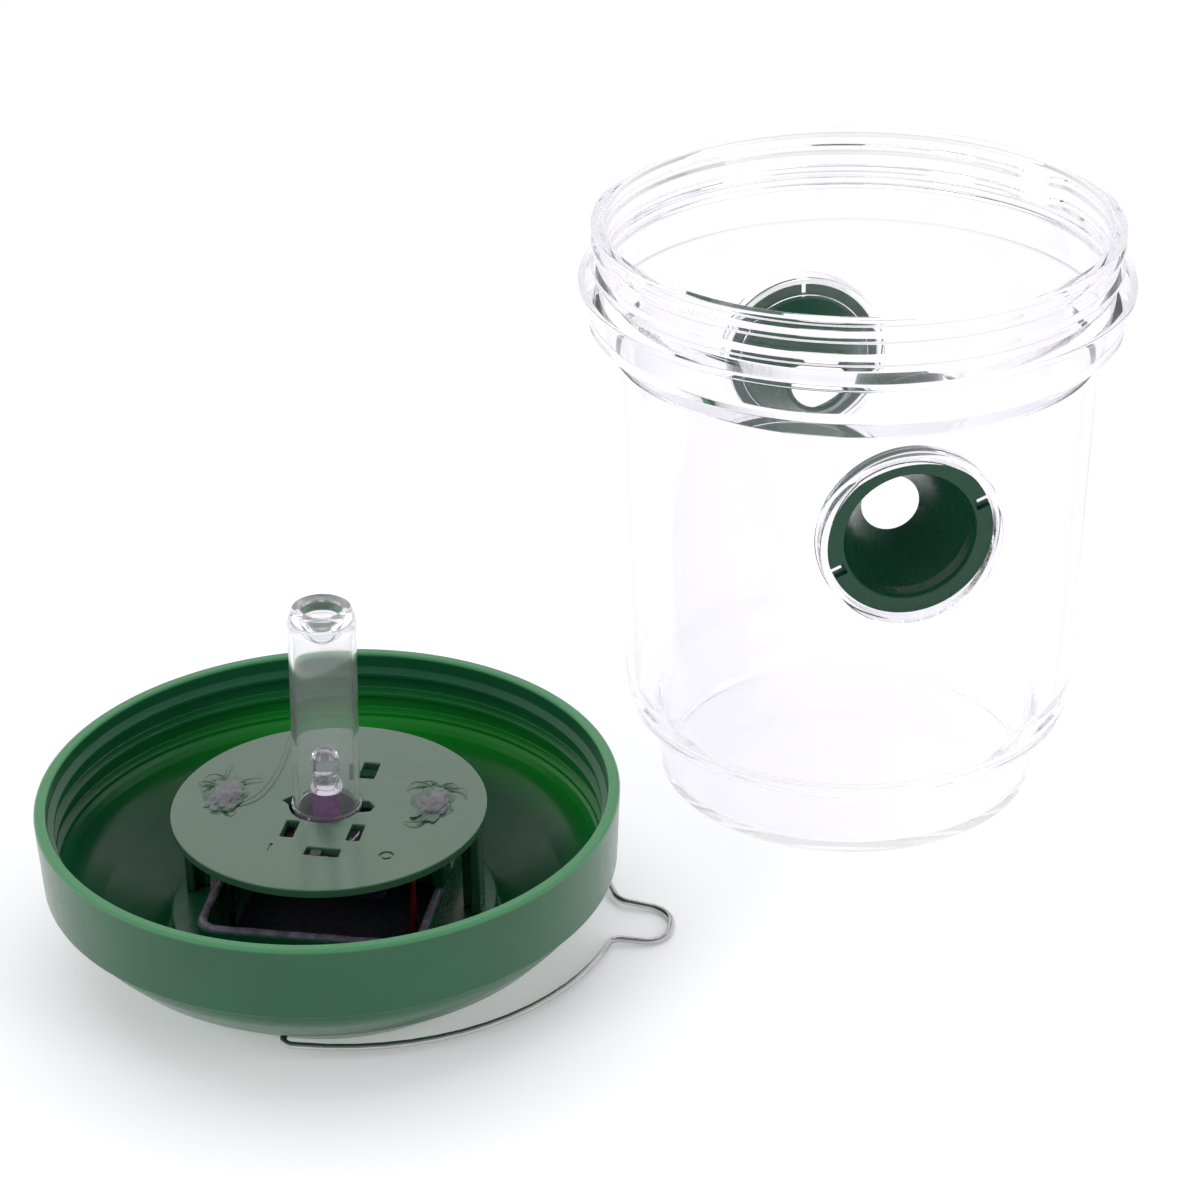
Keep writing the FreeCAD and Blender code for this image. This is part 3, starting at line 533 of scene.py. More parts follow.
def cell_silicon():
    """Dark crystalline silicon with fine contact fingers."""
    material, tree, node = shader("cell_silicon", IOR=1.5, Coat_Weight=0.6, Coat_Roughness=0.05)
    where = add(tree, "ShaderNodeTexCoord")
    fingers = add(tree, "ShaderNodeTexWave", Scale=160.0, wave_type="BANDS", bands_direction="Y")
    tree.links.new(where.outputs["Object"], fingers.inputs["Vector"])
    colour = ramp(tree, fingers.outputs["Fac"], (0.006, 0.008, 0.03, 1), (0.16, 0.17, 0.2, 1), 0.93, 0.97)
    tree.links.new(colour, node.inputs["Base Color"])
    tree.links.new(ramp(tree, grain(tree, 500, 3), 0.2, 0.35), node.inputs["Roughness"])
    return material


MATERIALS = {
    "clear": clear_plastic(),
    "glass": tube_glass(),
    "epoxy": diode_epoxy(),
    "glue": sealant("hot_glue", (0.055, 0.115, 0.075), (0.12, 0.17, 0.135), (0.04, 0.10)),
    "sealant": sealant("panel_sealant", (0.15, 0.13, 0.18), (0.27, 0.24, 0.31)),
    "patch": sealant("milky_glue", (0.098, 0.103, 0.108), (0.15, 0.153, 0.16), (0.08, 0.16)),
    "lid": lid_plastic(),
    "base": green_plastic("base_green", (0.008, 0.10, 0.042), (0.011, 0.115, 0.05), (0.24, 0.3)),
    "cover": green_plastic("cover_green", (0.034, 0.100, 0.052), (0.040, 0.110, 0.058), (0.17, 0.21),
                           Coat_Weight=1.0, Coat_Roughness=0.14),
    "cone": green_plastic("cone_green", (0.006, 0.050, 0.025), (0.008, 0.058, 0.029), (0.26, 0.34),
                          Specular_IOR_Level=0.35),
    "wire": steel_wire(),
    "tin": tinned_metal(),
    "silicon": cell_silicon(),
    "black": plain("black_plastic", (0.006, 0.006, 0.007), (0.02, 0.02, 0.022), (0.3, 0.5)),
    "knob": plain("knob_plastic", (0.012, 0.012, 0.014), (0.045, 0.045, 0.05), (0.3, 0.45)),
    "riser": plain("board_purple", (0.10, 0.008, 0.115), (0.15, 0.014, 0.165), (0.25, 0.4)),
    # The control board's mask is the riser's purple darkened: painted shade for its place in the module's
    # shadow.
    "board": plain("board_mask_painted_shade", (0.010, 0.003, 0.014), (0.016, 0.005, 0.022), (0.25, 0.4)),
    "backing": plain("panel_backing", (0.002, 0.003, 0.009), (0.004, 0.005, 0.014), (0.6, 0.75)),
    "red": plain("red_insulation", (0.13, 0.004, 0.005), (0.18, 0.006, 0.007), (0.3, 0.45)),
    # The cell's sleeve is darkened to near black as painted shade, so that the cover's windows show dark.
    "sleeve": plain("cell_sleeve_painted_shade", (0.008, 0.014, 0.012), (0.012, 0.022, 0.018), (0.35, 0.5)),
    "tan": plain("resistor_lacquer", (0.5, 0.33, 0.18), (0.62, 0.45, 0.28), (0.3, 0.45)),
}


# ---------------------------------------------------------------- screw threads

PITCH = 4.4
THREAD_RISE = 1.3
THREAD_GAP = 0.03
THREAD_EASE = 1.2
RIDGE_FOOT = 1.1
RIDGE_FLAT = 0.4


def ease(share):
    """Smooth step from 0 to 1."""
    share = min(max(share, 0.0), 1.0)
    return share * share * (3 - 2 * share)


def ridge_corners(root, crest, level, upwards=True):
    """One thread ridge of an outline, rounded at its crest and roots."""
    corners = [(root, level - RIDGE_FOOT, 0.4), (crest, level - RIDGE_FLAT, 0.3),
               (crest, level + RIDGE_FLAT, 0.3), (root, level + RIDGE_FOOT, 0.4)]
    return corners if upwards else corners[::-1]


def thread_shape(root, low, high, start):
    """Moves the ridges between two levels: they climb with the angle, and sink into the wall for a
    short stretch at the mould's parting line."""
    def shape(radius, level, angle):
        inside = ease((level - low) / THREAD_EASE) * ease((high - level) / THREAD_EASE)
        if inside == 0:
            return radius, level
        share = ((angle - start) / TURN) % 1.0
        rise = THREAD_RISE * (min(share, (1 - share) * (1 - THREAD_GAP) / THREAD_GAP) - 0.5)
        standing = ease(min(share, 1 - share) / THREAD_GAP)
        if abs(radius - root) < 2.0:
            radius = root + (radius - root) * (1 - inside * (1 - standing))
        return radius, level + rise * inside
    return shape


# ---------------------------------------------------------------- jar

SOCKET_FLOOR = 41.4
SOCKET_RADIUS = 15.95
SOCKET_WALL = 1.3
SOCKET_BORE = 13.45
SOCKET_FRONT = 44.8
SOCKET_BACK = SOCKET_FLOOR - 1.5
NECK_RADIUS = 48.9
NECK_FOOT = 106.6
NECK_CREST = 50.0
JAR_RIDGE = 108.6


def jar_outline():
    """Half section: up the outside from the base to the mouth, and down the inside."""
    top = JAR_HEIGHT
    corners = [
        (0, 0), (37.0, 0, 0.9), (38.6, 13.9, 1.2), (43.6, 16.1, 3.2), (44.3, 24.0, 6.0),
        (46.3, 92.8, 1.2), (50.7, 97.4, 0.5), (50.7, 103.8, 0.5), (52.5, 104.5, 0.5),
        (52.5, 105.7, 0.5), (NECK_RADIUS, NECK_FOOT, 0.3),
        *ridge_corners(NECK_RADIUS, NECK_CREST, JAR_RIDGE),
        *ridge_corners(NECK_RADIUS, NECK_CREST, JAR_RIDGE + PITCH),
        (NECK_RADIUS, top - 1.5, 0.3), (NECK_CREST, top - 0.9, 0.3), (NECK_CREST, top, 0.6),
        (47.4, top, 0.6), (47.4, 97.8, 2.5),
        (44.6, 91.6, 2.5), (42.6, 24.0, 6.0), (41.6, 17.9, 2.6), (36.9, 15.6, 1.4),
        (35.3, 1.7, 1.4), (0, 1.7),
    ]
    return soften(corners)


def make_jar():
    """The jar with its two side sockets, which are bored through for the cones."""
    threads = thread_shape(NECK_RADIUS, NECK_FOOT + 0.1, JAR_HEIGHT - 1.2, math.radians(30))
    jar = lathe("jar_wall", jar_outline(), 256, shape=threads)
    sockets, cutters = [], []
    for side, turn in (("front", 90), ("rear", -90)):
        facing = Matrix.Translation((0, 0, CONE_LEVEL * MM)) @ Matrix.Rotation(math.radians(turn), 4, "X")
        ring = SOCKET_RADIUS + SOCKET_WALL
        sockets.append(lathe(f"{side}_socket", soften([
            (0, SOCKET_BACK), (ring, SOCKET_BACK, 0.5), (ring, SOCKET_FRONT, 0.6), (0, SOCKET_FRONT)]),
            96, facing))
        back, outside = SOCKET_BACK - 1, SOCKET_FRONT + 9.2
        cutters.append(lathe(f"{side}_recess", soften([
            (0, back), (SOCKET_BORE, back), (SOCKET_BORE, SOCKET_FLOOR, 0.4),
            (SOCKET_RADIUS, SOCKET_FLOOR, 0.4), (SOCKET_RADIUS, outside), (0, outside)]), 96, facing))
    combine(jar, "UNION", *sockets)
    combine(jar, "DIFFERENCE", *cutters)
    let_light_through(jar)
    place_piece(jar, "jar", "clear_plastic", MATERIALS["clear"], "jar")


# ---------------------------------------------------------------- entry cones

CONE_FRONT = SOCKET_FLOOR + 1.6


def make_cone(side, facing, twist):
    """Funnel along the jar's radius; each notch of its flange is a slit in a shallow step."""
    outward = Matrix.Rotation(math.radians(facing), 4, "Z") @ Matrix.Rotation(math.radians(90), 4, "X")
    seat = Matrix.Translation((0, 0, CONE_LEVEL * MM)) @ outward
    turned = Matrix.Rotation(math.radians(twist), 4, "Z")
    place = seat @ Matrix.Translation((0, 0, CONE_FRONT * MM)) @ turned
    funnel = lathe(f"{side}_cone", soften([
        (12.5, 0, 0.35), (15.65, 0, 0.3), (15.65, -1.5, 0.25), (13.2, -1.5, 0.2), (13.2, -3.7, 1.0),
        (6.4, -14.8, 0.3), (5.3, -14.8, 0.3), (11.9, -3.4, 0.6), (12.15, -0.9, 0.4),
    ]), 160)
    notches = []
    for sign in (-1, 1):
        notches.append(block(f"{side}_step", (sign * 15.05, 0, 0.6), (4.0, 2.4, 3.0)))
        notches.append(block(f"{side}_slit", (sign * 15.35, 0, -0.7), (3.4, 0.9, 4.0)))
    combine(funnel, "DIFFERENCE", *notches)
    funnel.data.transform(place)
    place_piece(funnel, f"{side}_cone", "green_plastic", MATERIALS["cone"], f"{side}_entry_cone")


# ---------------------------------------------------------------- lid shell

LID_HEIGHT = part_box("lid_shell")[1].z / MM
LID_WALL = 2.2
RIM_INNER = 50.8
RIM_FOOT = 18.4
LID_CREST = 49.5
LID_RIDGE = 28.6
LID_RIDGES = 3
PIVOT_HOLE = 0.75
WINDOW_WIDTH = 37.6
PANEL_WIDTH = 41.4
PANEL_DEPTH = 1.3


def lid_outline():
    """Half section: up the outside from the flat top to the rim, and down the inside."""
    top = LID_HEIGHT
    ridges = []
    for turn in range(LID_RIDGES):
        ridges += ridge_corners(RIM_INNER, LID_CREST, LID_RIDGE - PITCH * turn, upwards=False)
    corners = [
        (0, 0), (32.2, 0, 1.2), (44.0, 9.0, 9.0), (49.4, 15.0, 9.0), (50.3, RIM_FOOT),
        (52.3, RIM_FOOT, 0.35), (53.0, top, 0.6), (RIM_INNER, top, 0.5), *ridges[:-1],
        (48.9, 18.7, 0.3), (48.2, 17.4, 1.2), (47.2, 14.6, 7.0), (42.4, 10.4, 7.0),
        (31.3, LID_WALL, 2.0), (0, LID_WALL),
    ]
    return soften(corners, 8.0)


def make_lid():
    """The lid's shell with the panel's window and recess and the bail's two holes."""
    threads = thread_shape(RIM_INNER, RIM_FOOT + 0.2, LID_HEIGHT - 1.0, math.radians(-60))
    shell = lathe("lid_shell_wall", lid_outline(), 256, shape=threads)
    window = box_points(0, 0, WINDOW_WIDTH, WINDOW_WIDTH, 1.0)
    recess = box_points(0, 0, PANEL_WIDTH, PANEL_WIDTH, 2.5)
    cutters = [
        extrude("window", window, [], -1.0, LID_WALL + 1.8),
        extrude("recess", recess, [], -1.0, PANEL_DEPTH),
    ]
    for sign in (-1, 1):
        path = [(0, sign * 31, PIVOT_LEVEL), (0, sign * 48, PIVOT_LEVEL)]
        cutters.append(tube("pivot_hole", path, PIVOT_HOLE, 24))
    combine(shell, "DIFFERENCE", *cutters)
    shell.data.transform(LID)
    place_piece(shell, "lid", "green_plastic", MATERIALS["lid"], "lid_shell")


# ---------------------------------------------------------------- light module

COVER_TOP = 29.0
COVER_THICKNESS = 1.6
COVER_RADIUS = 28.8
BASE_FOOT = LID_WALL + 0.05
BASE_TOP = 8.8
BASE_RADIUS = 30.1
HOLLOW_RADIUS = 28.4
HOLLOW_TOP = 7.1
WELL_TOP = 13.6
WELL_OUTER = 42.4
WELL_INNER = 38.8
TUBE_AT = (-0.7, 0.5)
TUBE_HOLE = 6.7
SWITCH_AT = (2.5, -15.8)
SWITCH_SLOT = (6.3, 2.6)
WINDOWS = (((-5.1, -9.0), (2.4, 5.5)), ((6.9, -8.6), (2.4, 5.4)), ((4.5, 13.0), (3.0, 5.6)))
MARK_DEPTH = 0.25
POSTS = ((-19.7, 0.2), (19.7, 2.6))
POST_SIZE = (2.6, 6.0, 15.2)
LEG_AZIMUTHS = (3, 62, 118, 177)
LEG_REACH = 26.8
RIB_REACH = 25.2


def make_base():
    """Hollow round plate, the square well through it, and two posts."""
    base = extrude("module_base_plate", ring_points(0, 0, BASE_RADIUS, 160), [], BASE_FOOT, BASE_TOP, 0.45)
    hollow = extrude("hollow", ring_points(0, 0, HOLLOW_RADIUS, 96), [], 1.0, HOLLOW_TOP)
    outside = box_points(0, 0, WELL_OUTER, WELL_OUTER, 4.2)
    inside = box_points(0, 0, WELL_INNER, WELL_INNER, 2.4)
    well = extrude("module_well", outside, [], BASE_FOOT, WELL_TOP, 0.4)
    opening = extrude("opening", inside, [], 1.0, WELL_TOP + 1.0)
    combine(base, "DIFFERENCE", hollow)
    combine(base, "UNION", well)
    combine(base, "DIFFERENCE", opening)
    posts = [block("post", (x, y, 21.0), POST_SIZE, 0.3) for x, y in POSTS]
    join(base, *posts)
    base.data.transform(LID)
    place_piece(base, "lid", "green_plastic", MATERIALS["base"], "module_base")


def tube_opening():
    """The tube's round hole with a pointed notch on its left and a ragged one on its right."""
    left = [(-6.45, 1.8), (-8.2, 0), (-6.55, -1.4)]
    right = [(6.3, -2.3), (8.6, -1.6), (9.0, 0.2), (7.6, 1.9), (6.45, 1.8)]
    upper, lower = [], []
    for x, y in ring_points(0, 0, TUBE_HOLE, 96):
        notch = left if x < 0 else right
        levels = [level for across, level in notch]
        if min(levels) < y < max(levels[0], levels[-1]):
            continue
        (upper if y >= 0 else lower).append((x, y))
    return [(x + TUBE_AT[0], y + TUBE_AT[1]) for x, y in upper + left + lower + right]


def switch_marks():
    """Cutters for the switch's two marks: a stroke for on and a ring for off."""
    x, y = SWITCH_AT
    stroke = block("mark_on", (x - 9.6, y + 0.2, COVER_TOP), (0.6, 2.6, 2 * MARK_DEPTH))
    outside, inside = (ring_points(x + 11.6, y + 0.4, radius, 40) for radius in (1.4, 0.8))
    ring = extrude("mark_off", outside, [inside], COVER_TOP - MARK_DEPTH, COVER_TOP + MARK_DEPTH)
    return [stroke, ring]


def cover_legs(under):
    """Ribbed legs between the base plate and the cover's underside."""
    height = under - BASE_TOP
    middle = BASE_TOP + 0.1 + height / 2
    legs = []
    for azimuth in LEG_AZIMUTHS:
        leg = block("leg", (LEG_REACH, 0, middle), (1.8, 6.4, height), 0.3)
        join(leg, block("rib", (RIB_REACH, 0, middle), (2.2, 1.2, height), 0.25))
        leg.data.transform(Matrix.Rotation(math.radians(azimuth), 4, "Z"))
        legs.append(leg)
    return legs


def make_cover():
    """Round plate with its openings, switch marks and legs."""
    holes = [tube_opening(), box_points(*SWITCH_AT, *SWITCH_SLOT, 0.3)]
    holes += [box_points(*centre, *size, 0.25) for centre, size in WINDOWS]
    holes += [box_points(x, y, 2.9, 6.3, 0.25) for x, y in POSTS]
    under = COVER_TOP - COVER_THICKNESS
    rim = ring_points(0, 0, COVER_RADIUS, 192)
    plate = extrude("module_cover_plate", rim, holes, under, COVER_TOP, 0.22)
    combine(plate, "DIFFERENCE", *switch_marks())
    join(plate, *cover_legs(under))
    plate.data.transform(LID)
    place_piece(plate, "lid", "green_plastic", MATERIALS["cover"], "module_cover")


def make_sealant():
    """U-shaped bead round the well's edge, laid by hand, so its width wanders."""
    half, corner = 20.15, 3.6
    path = [(-half, -4.4), (-half, -9), (-half, -14)]
    for start, centre in ((180, (-half + corner, -half + corner)), (270, (half - corner, -half + corner))):
        for step in range(7):
            angle = math.radians(start + 15 * step)
            path.append((centre[0] + corner * math.cos(angle), centre[1] + corner * math.sin(angle)))
        if start == 180:
            path += [(-10, -half), (-4, -half), (3, -half), (10, -half)]
    path += [(half, -13), (half, -8), (half, -2.2)]
    line = smooth_path([(x, y, 0) for x, y in path], 8)
    vertices = []
    sides = 9
    for index, point in enumerate(line):
        ahead = heading(line, index)
        across = Vector((-ahead.y, ahead.x, 0))
        width = 0.82 + 0.14 * noise.noise(Vector((index * 0.11, 0, 0)))
        height = 0.62 + 0.2 * noise.noise(Vector((index * 0.17, 5, 0)))
        for side in range(sides):
            angle = math.pi * side / (sides - 1)
            offset = across * (width * math.cos(angle))
            vertices.append(point + offset + Vector((0, 0, WELL_TOP + 0.02 + height * math.sin(angle))))
    bead = mesh_object("sealant_bead", vertices, skin(len(line), sides), LID, 60.0)
    place_piece(bead, "lid", "sealant", MATERIALS["sealant"], "panel_sealant")


STRING_COUNT = 7
STRING_STEPS = 5
LONG_STRAND = [(-16.5, -2.6, 29.3), (-13.6, -0.5, 29.6), (-12.0, 7.0, 29.9), (-12.2, 17.0, 30.2),
               (-13.0, 24.0, 30.6), (-12.6, 31.0, 31.2)]


def glue_lump(name, centre, half_sizes, ragged, uneven, seed):
    """A flattened lump with a ragged outline and an uneven top."""
    work = bmesh.new()
    bmesh.ops.create_icosphere(work, subdivisions=5, radius=1.0)
    vertices = []
    for vertex in work.verts:
        direction = vertex.co
        reach = 0.9 + ragged * noise.noise(direction * 2.2 + Vector((seed, 0, 0)))
        reach += 0.25 * ragged * noise.noise(direction * 4.5 + Vector((0, seed, 0)))
        lumps = 0.8 + uneven * noise.noise(direction * 2.4 + Vector((0, 0, seed)))
        rise = max(direction.z, -0.05) * half_sizes[2] * lumps
        vertices.append(centre + Vector((direction.x * half_sizes[0] * reach,
                                         direction.y * half_sizes[1] * reach, rise)))
    faces = [[vertex.index for vertex in face.verts] for face in work.faces]
    work.free()
    return mesh_object(name, vertices, faces, LID, 70.0)


def glue_string(name, points, thick):
    """A thread of glue that thins towards its end."""
    line = smooth_path(points, 6)
    radii = [thick * (1.1 - 0.8 * index / len(line)) for index in range(len(line))]
    return tube(name, line, radii, 8, LID)


def loose_strings(side, x, y, draws):
    """Short curved strings round a glue spot; all but the last leave on its +Y side."""
    strings = []
    for index in range(STRING_COUNT):
        last = index == STRING_COUNT - 1
        angle = draws.uniform(3.9, 5.5) if last else draws.uniform(0.5, 2.6)
        reach = draws.uniform(1.2, 3.6)
        start = Vector((x + 2.4 * math.cos(angle), y + 4.8 * math.sin(angle), 0))
        bend = draws.uniform(-1.5, 1.5)
        points = []
        for step in range(STRING_STEPS + 1):
            share = step / STRING_STEPS
            direction = angle + bend * share * 2.4
            start = start + Vector((math.cos(direction), math.sin(direction), 0)) * reach / 3
            lift = 0.15 + 0.6 * math.sin(math.pi * share) * draws.uniform(0.4, 1.0)
            points.append((start.x, start.y, COVER_TOP + 0.1 + lift))
        strings.append(glue_string(f"{side}_string", points, draws.uniform(0.10, 0.22)))
    return strings


def make_glue(side, x, y, seed, long_string=None):
    """Hot glue squeezed over a post: a milky patch in a greenish ragged border, with loose strings."""
    foot = Vector((x, y, COVER_TOP + 0.08))
    border = glue_lump(f"{side}_glue", foot, (3.6, 6.4, 0.75), 0.5, 0.3, seed)
    strings = loose_strings(side, x, y, random.Random(seed))
    if long_string:
        strings.append(glue_string(f"{side}_strand", long_string, 0.1))
    join(border, *strings)
    place_piece(border, "lid", "sealant", MATERIALS["glue"], f"{side}_glue_blob")
    middle = foot + Vector((0.2, -0.3, 0.2))
    patch = glue_lump(f"{side}_glue_patch", middle, (2.8, 4.9, 0.95), 0.45, 0.15, seed + 20)
    place_piece(patch, "lid", "sealant", MATERIALS["patch"])


# ---------------------------------------------------------------- light tube and diode

TUBE_FOOT = 23.3
TUBE_LEAN = 1.6
TUBE_RADIUS = 6.1
TUBE_BORE = 5.25
TUBE_SHOULDER = 44.6


def make_tube():
    """Leaning clear tube: open foot, a small lip on the cover, and a far end rolled in to a cone."""
    shoulder = TUBE_SHOULDER
    roll = shoulder + 1.6
    lip = COVER_TOP - TUBE_FOOT + 0.1
    outline = soften([
        (TUBE_BORE, 0, 0.3), (TUBE_RADIUS, 0, 0.3), (TUBE_RADIUS, lip - 0.5, 0.2), (6.45, lip - 0.3, 0.2),
        (6.45, lip + 0.3, 0.2), (TUBE_RADIUS, lip + 0.5, 0.2), (TUBE_RADIUS, shoulder - 0.8, 2.2),
        (5.3, roll, 0.75), (3.7, roll, 0.75), (2.6, roll - 2.6, 1.6), (0.75, roll - 6.0, 0.6),
        (0, roll - 6.3), (0, roll - 7.2), (1.4, roll - 6.8, 0.9), (3.7, roll - 2.9, 1.2),
        (4.5, shoulder - 1.2, 0.8), (TUBE_BORE, shoulder - 2.4, 1.2),
    ], 9.0)
    lean = Matrix.Translation((TUBE_AT[0] * MM, TUBE_AT[1] * MM, TUBE_FOOT * MM))
    lean = lean @ Matrix.Rotation(math.radians(TUBE_LEAN), 4, "Y")
    glass = lathe("light_tube_glass", outline, 96, LID @ lean)
    let_light_through(glass)
    place_piece(glass, "lid", "clear_plastic", MATERIALS["glass"], "light_tube")


DIODE_AT = (TUBE_AT[0] + 0.3, TUBE_AT[1])
DIODE_FOOT = 32.4
DIODE_RADIUS = 2.5
DIODE_FLANGE = 2.9
DOME_LEVEL = 6.2
LEAD_OFFSET = 1.27
LEAD_FOOT = 23.05


def make_diode():
    """Clear domed lamp and, inside it, the lead frame with its anvil, post and reflector cup."""
    x, y = DIODE_AT
    place = LID @ Matrix.Translation((x * MM, y * MM, DIODE_FOOT * MM))
    dome = []
    for degrees in range(0, 90, 6):
        rise = math.radians(degrees)
        dome.append((DIODE_RADIUS * math.cos(rise), DOME_LEVEL + DIODE_RADIUS * math.sin(rise)))
    corners = [(0, 0), (DIODE_FLANGE, 0, 0.15), (DIODE_FLANGE, 1.0, 0.2), (DIODE_RADIUS, 1.0, 0.1)]
    corners += [*dome, (0, DOME_LEVEL + DIODE_RADIUS)]
    lens = lathe("diode_lens", soften(corners), 64, place)
    let_light_through(lens)
    place_piece(lens, "lid", "diode_clear", MATERIALS["epoxy"], "light_diode")

    top = DIODE_FOOT + 1.2
    parts = []
    for offset in (-LEAD_OFFSET, LEAD_OFFSET):
        centre = (x + offset, y, (LEAD_FOOT + top) / 2)
        parts.append(block("leg", centre, (0.5, 0.5, top - LEAD_FOOT), 0.05, LID))
    plates = DIODE_FOOT + 2.1
    parts.append(block("anvil", (x - 0.55, y, plates), (1.9, 0.5, 1.8), 0.1, LID))
    parts.append(block("post", (x + 1.15, y, plates), (0.7, 0.5, 1.8), 0.1, LID))
    cup = Matrix.Translation(((x - 0.3) * MM, y * MM, (DIODE_FOOT + 3.0) * MM))
    bowl = soften([(0, 0), (0.75, 0), (1.0, 0.6), (0.85, 0.6), (0.5, 0.2), (0, 0.2)])
    parts.append(lathe("cup", bowl, 32, LID @ cup))
    leads, *others = parts
    leads.name = "diode_lead_frame"
    join(leads, *others)
    place_piece(leads, "lid", "tinned_metal", MATERIALS["tin"], "diode_leads")


# ---------------------------------------------------------------- bail

PIVOT_LEVEL = joint("bail_pivot")["pos_m"][2] / MM
WIRE_RADIUS = 0.65
BAIL_REACH = 60.7


def bail_line():
    """The wire's centre line: straight runs joined by tangent arcs."""
    corners = [
        (0, -34.6), (0, -41.2, 1.8), (42.3, -36.6, 54.0), (51.1, 5.4, 2.4), (61.3, 6.2, 4.8),
        (60.9, 17.0, 5.0), (50.2, 18.2, 3.6), (38.0, 42.8, 34.0), (0, 41.2, 1.8), (0, 34.6),
    ]
    points = [Vector((*corners[0], 0))]
    for before, corner, after in zip(corners, corners[1:], corners[2:]):
        arc = corner_arc(before, corner, after, corner[2], 5.0)
        points += [Vector((*point, 0)) for point in arc]
    points.append(Vector((*corners[-1], 0)))
    return points


def make_bail():
    """The bail lies with its bump on the floor, so its plane slopes down from the pivots."""
    slope = math.asin((PIVOT_LEVEL - WIRE_RADIUS) / BAIL_REACH)
    place = LID @ Matrix.Translation((0, 0, PIVOT_LEVEL * MM)) @ Matrix.Rotation(slope, 4, "Y")
    wire = tube("bail_wire", bail_line(), WIRE_RADIUS, 20, place)
    place_piece(wire, "bail", "steel_wire", MATERIALS["wire"], "bail_handle")


# ---------------------------------------------------------------- pieces kept from the frame

KEPT = {
    "panel_cover": "epoxy", "panel_backing": "backing", "solar_cells": "silicon",
    "diode_riser_board": "riser", "control_board": "board", "control_chip": "black",
    "coil_inductor": "black", "resistor": "tan", "switch_base": "black", "switch_pins": "tin",
    "switch_case": "tin", "switch_knob": "knob", "rechargeable_cell": "sleeve", "cell_tabs": "tin",
    "red_wire": "red", "black_wire": "black",
}


def dress_kept_nodes():
    """Gives each carried-over node its material and slightly broken edges."""
    for name, material in KEPT.items():
        node = frame["nodes"][name]
        node.data.materials.clear()
        node.data.materials.append(MATERIALS[material])
        weld = node.modifiers.new("weld", "WELD")
        weld.merge_threshold = 0.002 * MM
        edges = node.modifiers.new("edges", "BEVEL")
        edges.width = 0.06 * MM
        edges.segments = 2
        edges.limit_method = "ANGLE"
        edges.angle_limit = math.radians(SHARP_ANGLE)


# ---------------------------------------------------------------- stage, light and camera

CAMERA_AT = (-0.14763, -0.55781, 0.33915)
CAMERA_YAW = 0.17340
CAMERA_PITCH = 0.48424
CAMERA_ROLL = -0.01456
CAMERA_LENS = 98.42
STAGE_CENTRE = (-0.05, -0.02, 0.03)


def make_floor():
    """A round pale sheet just under the object, with a faint glow of its own."""
    mesh = bpy.data.meshes.new("floor")
    work = bmesh.new()
    bmesh.ops.create_circle(work, cap_ends=True, segments=96, radius=9.0)
    work.to_mesh(mesh)
    work.free()
    floor = scene_object("floor", mesh)
    floor.location = (0, 0, -0.1 * MM)
    material, tree, node = shader("floor_sheet", Roughness=0.9, Specular_IOR_Level=0.1,
                                  Emission_Color=(1, 1, 1, 1), Emission_Strength=0.25)
    tree.links.new(ramp(tree, grain(tree, 3, 2), (0.93, 0.93, 0.935, 1), (0.95, 0.95, 0.95, 1)),
                   node.inputs["Base Color"])
    mesh.materials.append(material)


def make_world():
    """White studio: bright behind and low down, dim above and on the camera's side."""
    world = bpy.data.worlds.new("studio")
    bpy.context.scene.world = world
    world.use_nodes = True
    tree = world.node_tree
    background = tree.nodes["Background"]
    where = add(tree, "ShaderNodeTexCoord")
    above = dot_with(tree, where.outputs["Generated"], (-0.05, -0.45, 0.89))
    shade = ramp(tree, above, (1.0, 1.0, 1.0, 1), (0.30, 0.29, 0.35, 1), 0.1, 0.8)
    tree.links.new(shade, background.inputs["Color"])
    background.inputs["Strength"].default_value = 0.87


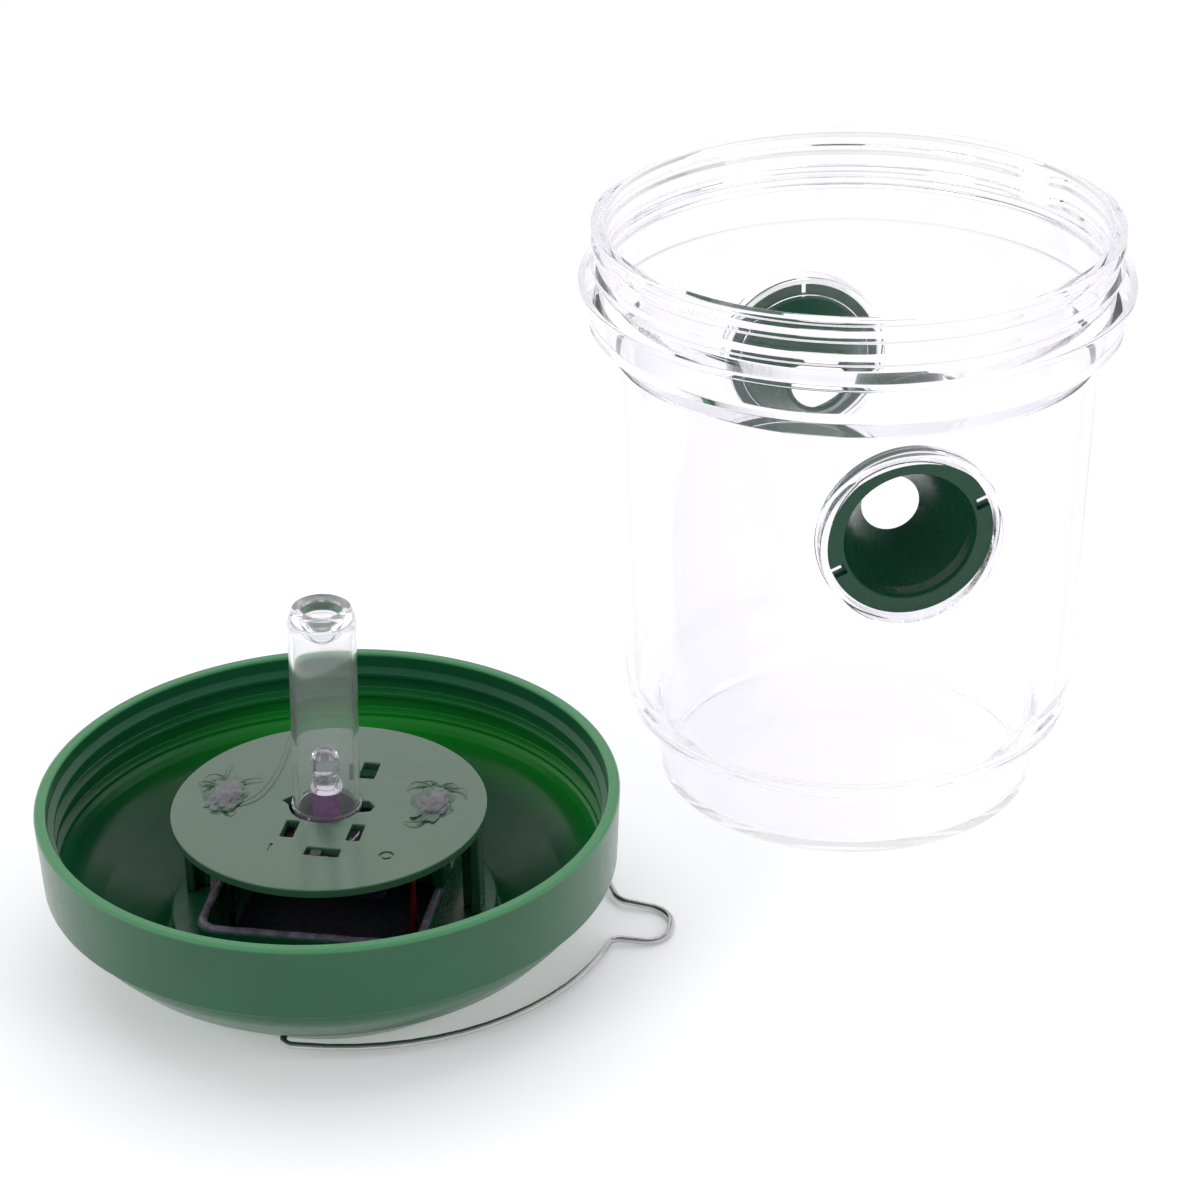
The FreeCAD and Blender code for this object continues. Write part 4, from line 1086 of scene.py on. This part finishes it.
def area_light(name, at, size, power):
    """A soft lamp aimed at the middle of the stage, unseen in reflections."""
    data = bpy.data.lights.new(name, "AREA")
    data.shape = "RECTANGLE"
    data.size, data.size_y = size
    data.energy = power
    lamp = scene_object(name, data)
    lamp.visible_glossy = False
    lamp.location = at
    lamp.rotation_euler = (Vector(STAGE_CENTRE) - Vector(at)).to_track_quat("-Z", "Y").to_euler()


def make_camera():
    """The camera, turned by yaw, pitch and roll from looking level along +Y."""
    data = bpy.data.cameras.new("camera")
    data.sensor_width = 36.0
    data.lens = CAMERA_LENS
    data.clip_start, data.clip_end = 0.01, 50.0
    camera = scene_object("camera", data)
    yaw, pitch = CAMERA_YAW, CAMERA_PITCH
    forward = Vector((math.sin(yaw) * math.cos(pitch), math.cos(yaw) * math.cos(pitch), -math.sin(pitch)))
    level_right = Vector((math.cos(yaw), -math.sin(yaw), 0))
    level_up = level_right.cross(forward)
    right = level_right * math.cos(CAMERA_ROLL) + level_up * math.sin(CAMERA_ROLL)
    up = level_up * math.cos(CAMERA_ROLL) - level_right * math.sin(CAMERA_ROLL)
    axes = Matrix((right, up, -forward)).transposed().to_4x4()
    camera.matrix_world = Matrix.Translation(CAMERA_AT) @ axes
    bpy.context.scene.camera = camera


def make_stage():
    """Floor, surroundings, lamps and camera. Light is guided far along the clear walls by many small
    reflections, so paths may be long; a short limit leaves the jar's lower edge black."""
    make_floor()
    make_world()
    area_light("overhead", (-0.1, 0.2, 1.3), (1.6, 1.4), 7)
    area_light("left_box", (-1.1, -0.7, 0.6), (0.5, 0.9), 5)
    area_light("right_box", (0.8, -1.0, 0.6), (0.5, 0.9), 5)
    make_camera()
    scene = bpy.context.scene
    scene.view_settings.view_transform = "Standard"
    scene.cycles.max_bounces = 64
    scene.cycles.transmission_bounces = 48
    scene.cycles.glossy_bounces = 48
    scene.cycles.caustics_reflective = False
    scene.cycles.caustics_refractive = False


# ---------------------------------------------------------------- build

make_jar()
make_cone("front", 0, 23)
make_cone("rear", 180, 90)
make_lid()
make_base()
make_cover()
make_sealant()
make_glue("left", -19.5, 0.2, 3, LONG_STRAND)
make_glue("right", 18.6, 3.0, 8)
make_tube()
make_diode()
make_bail()
dress_kept_nodes()
make_stage()
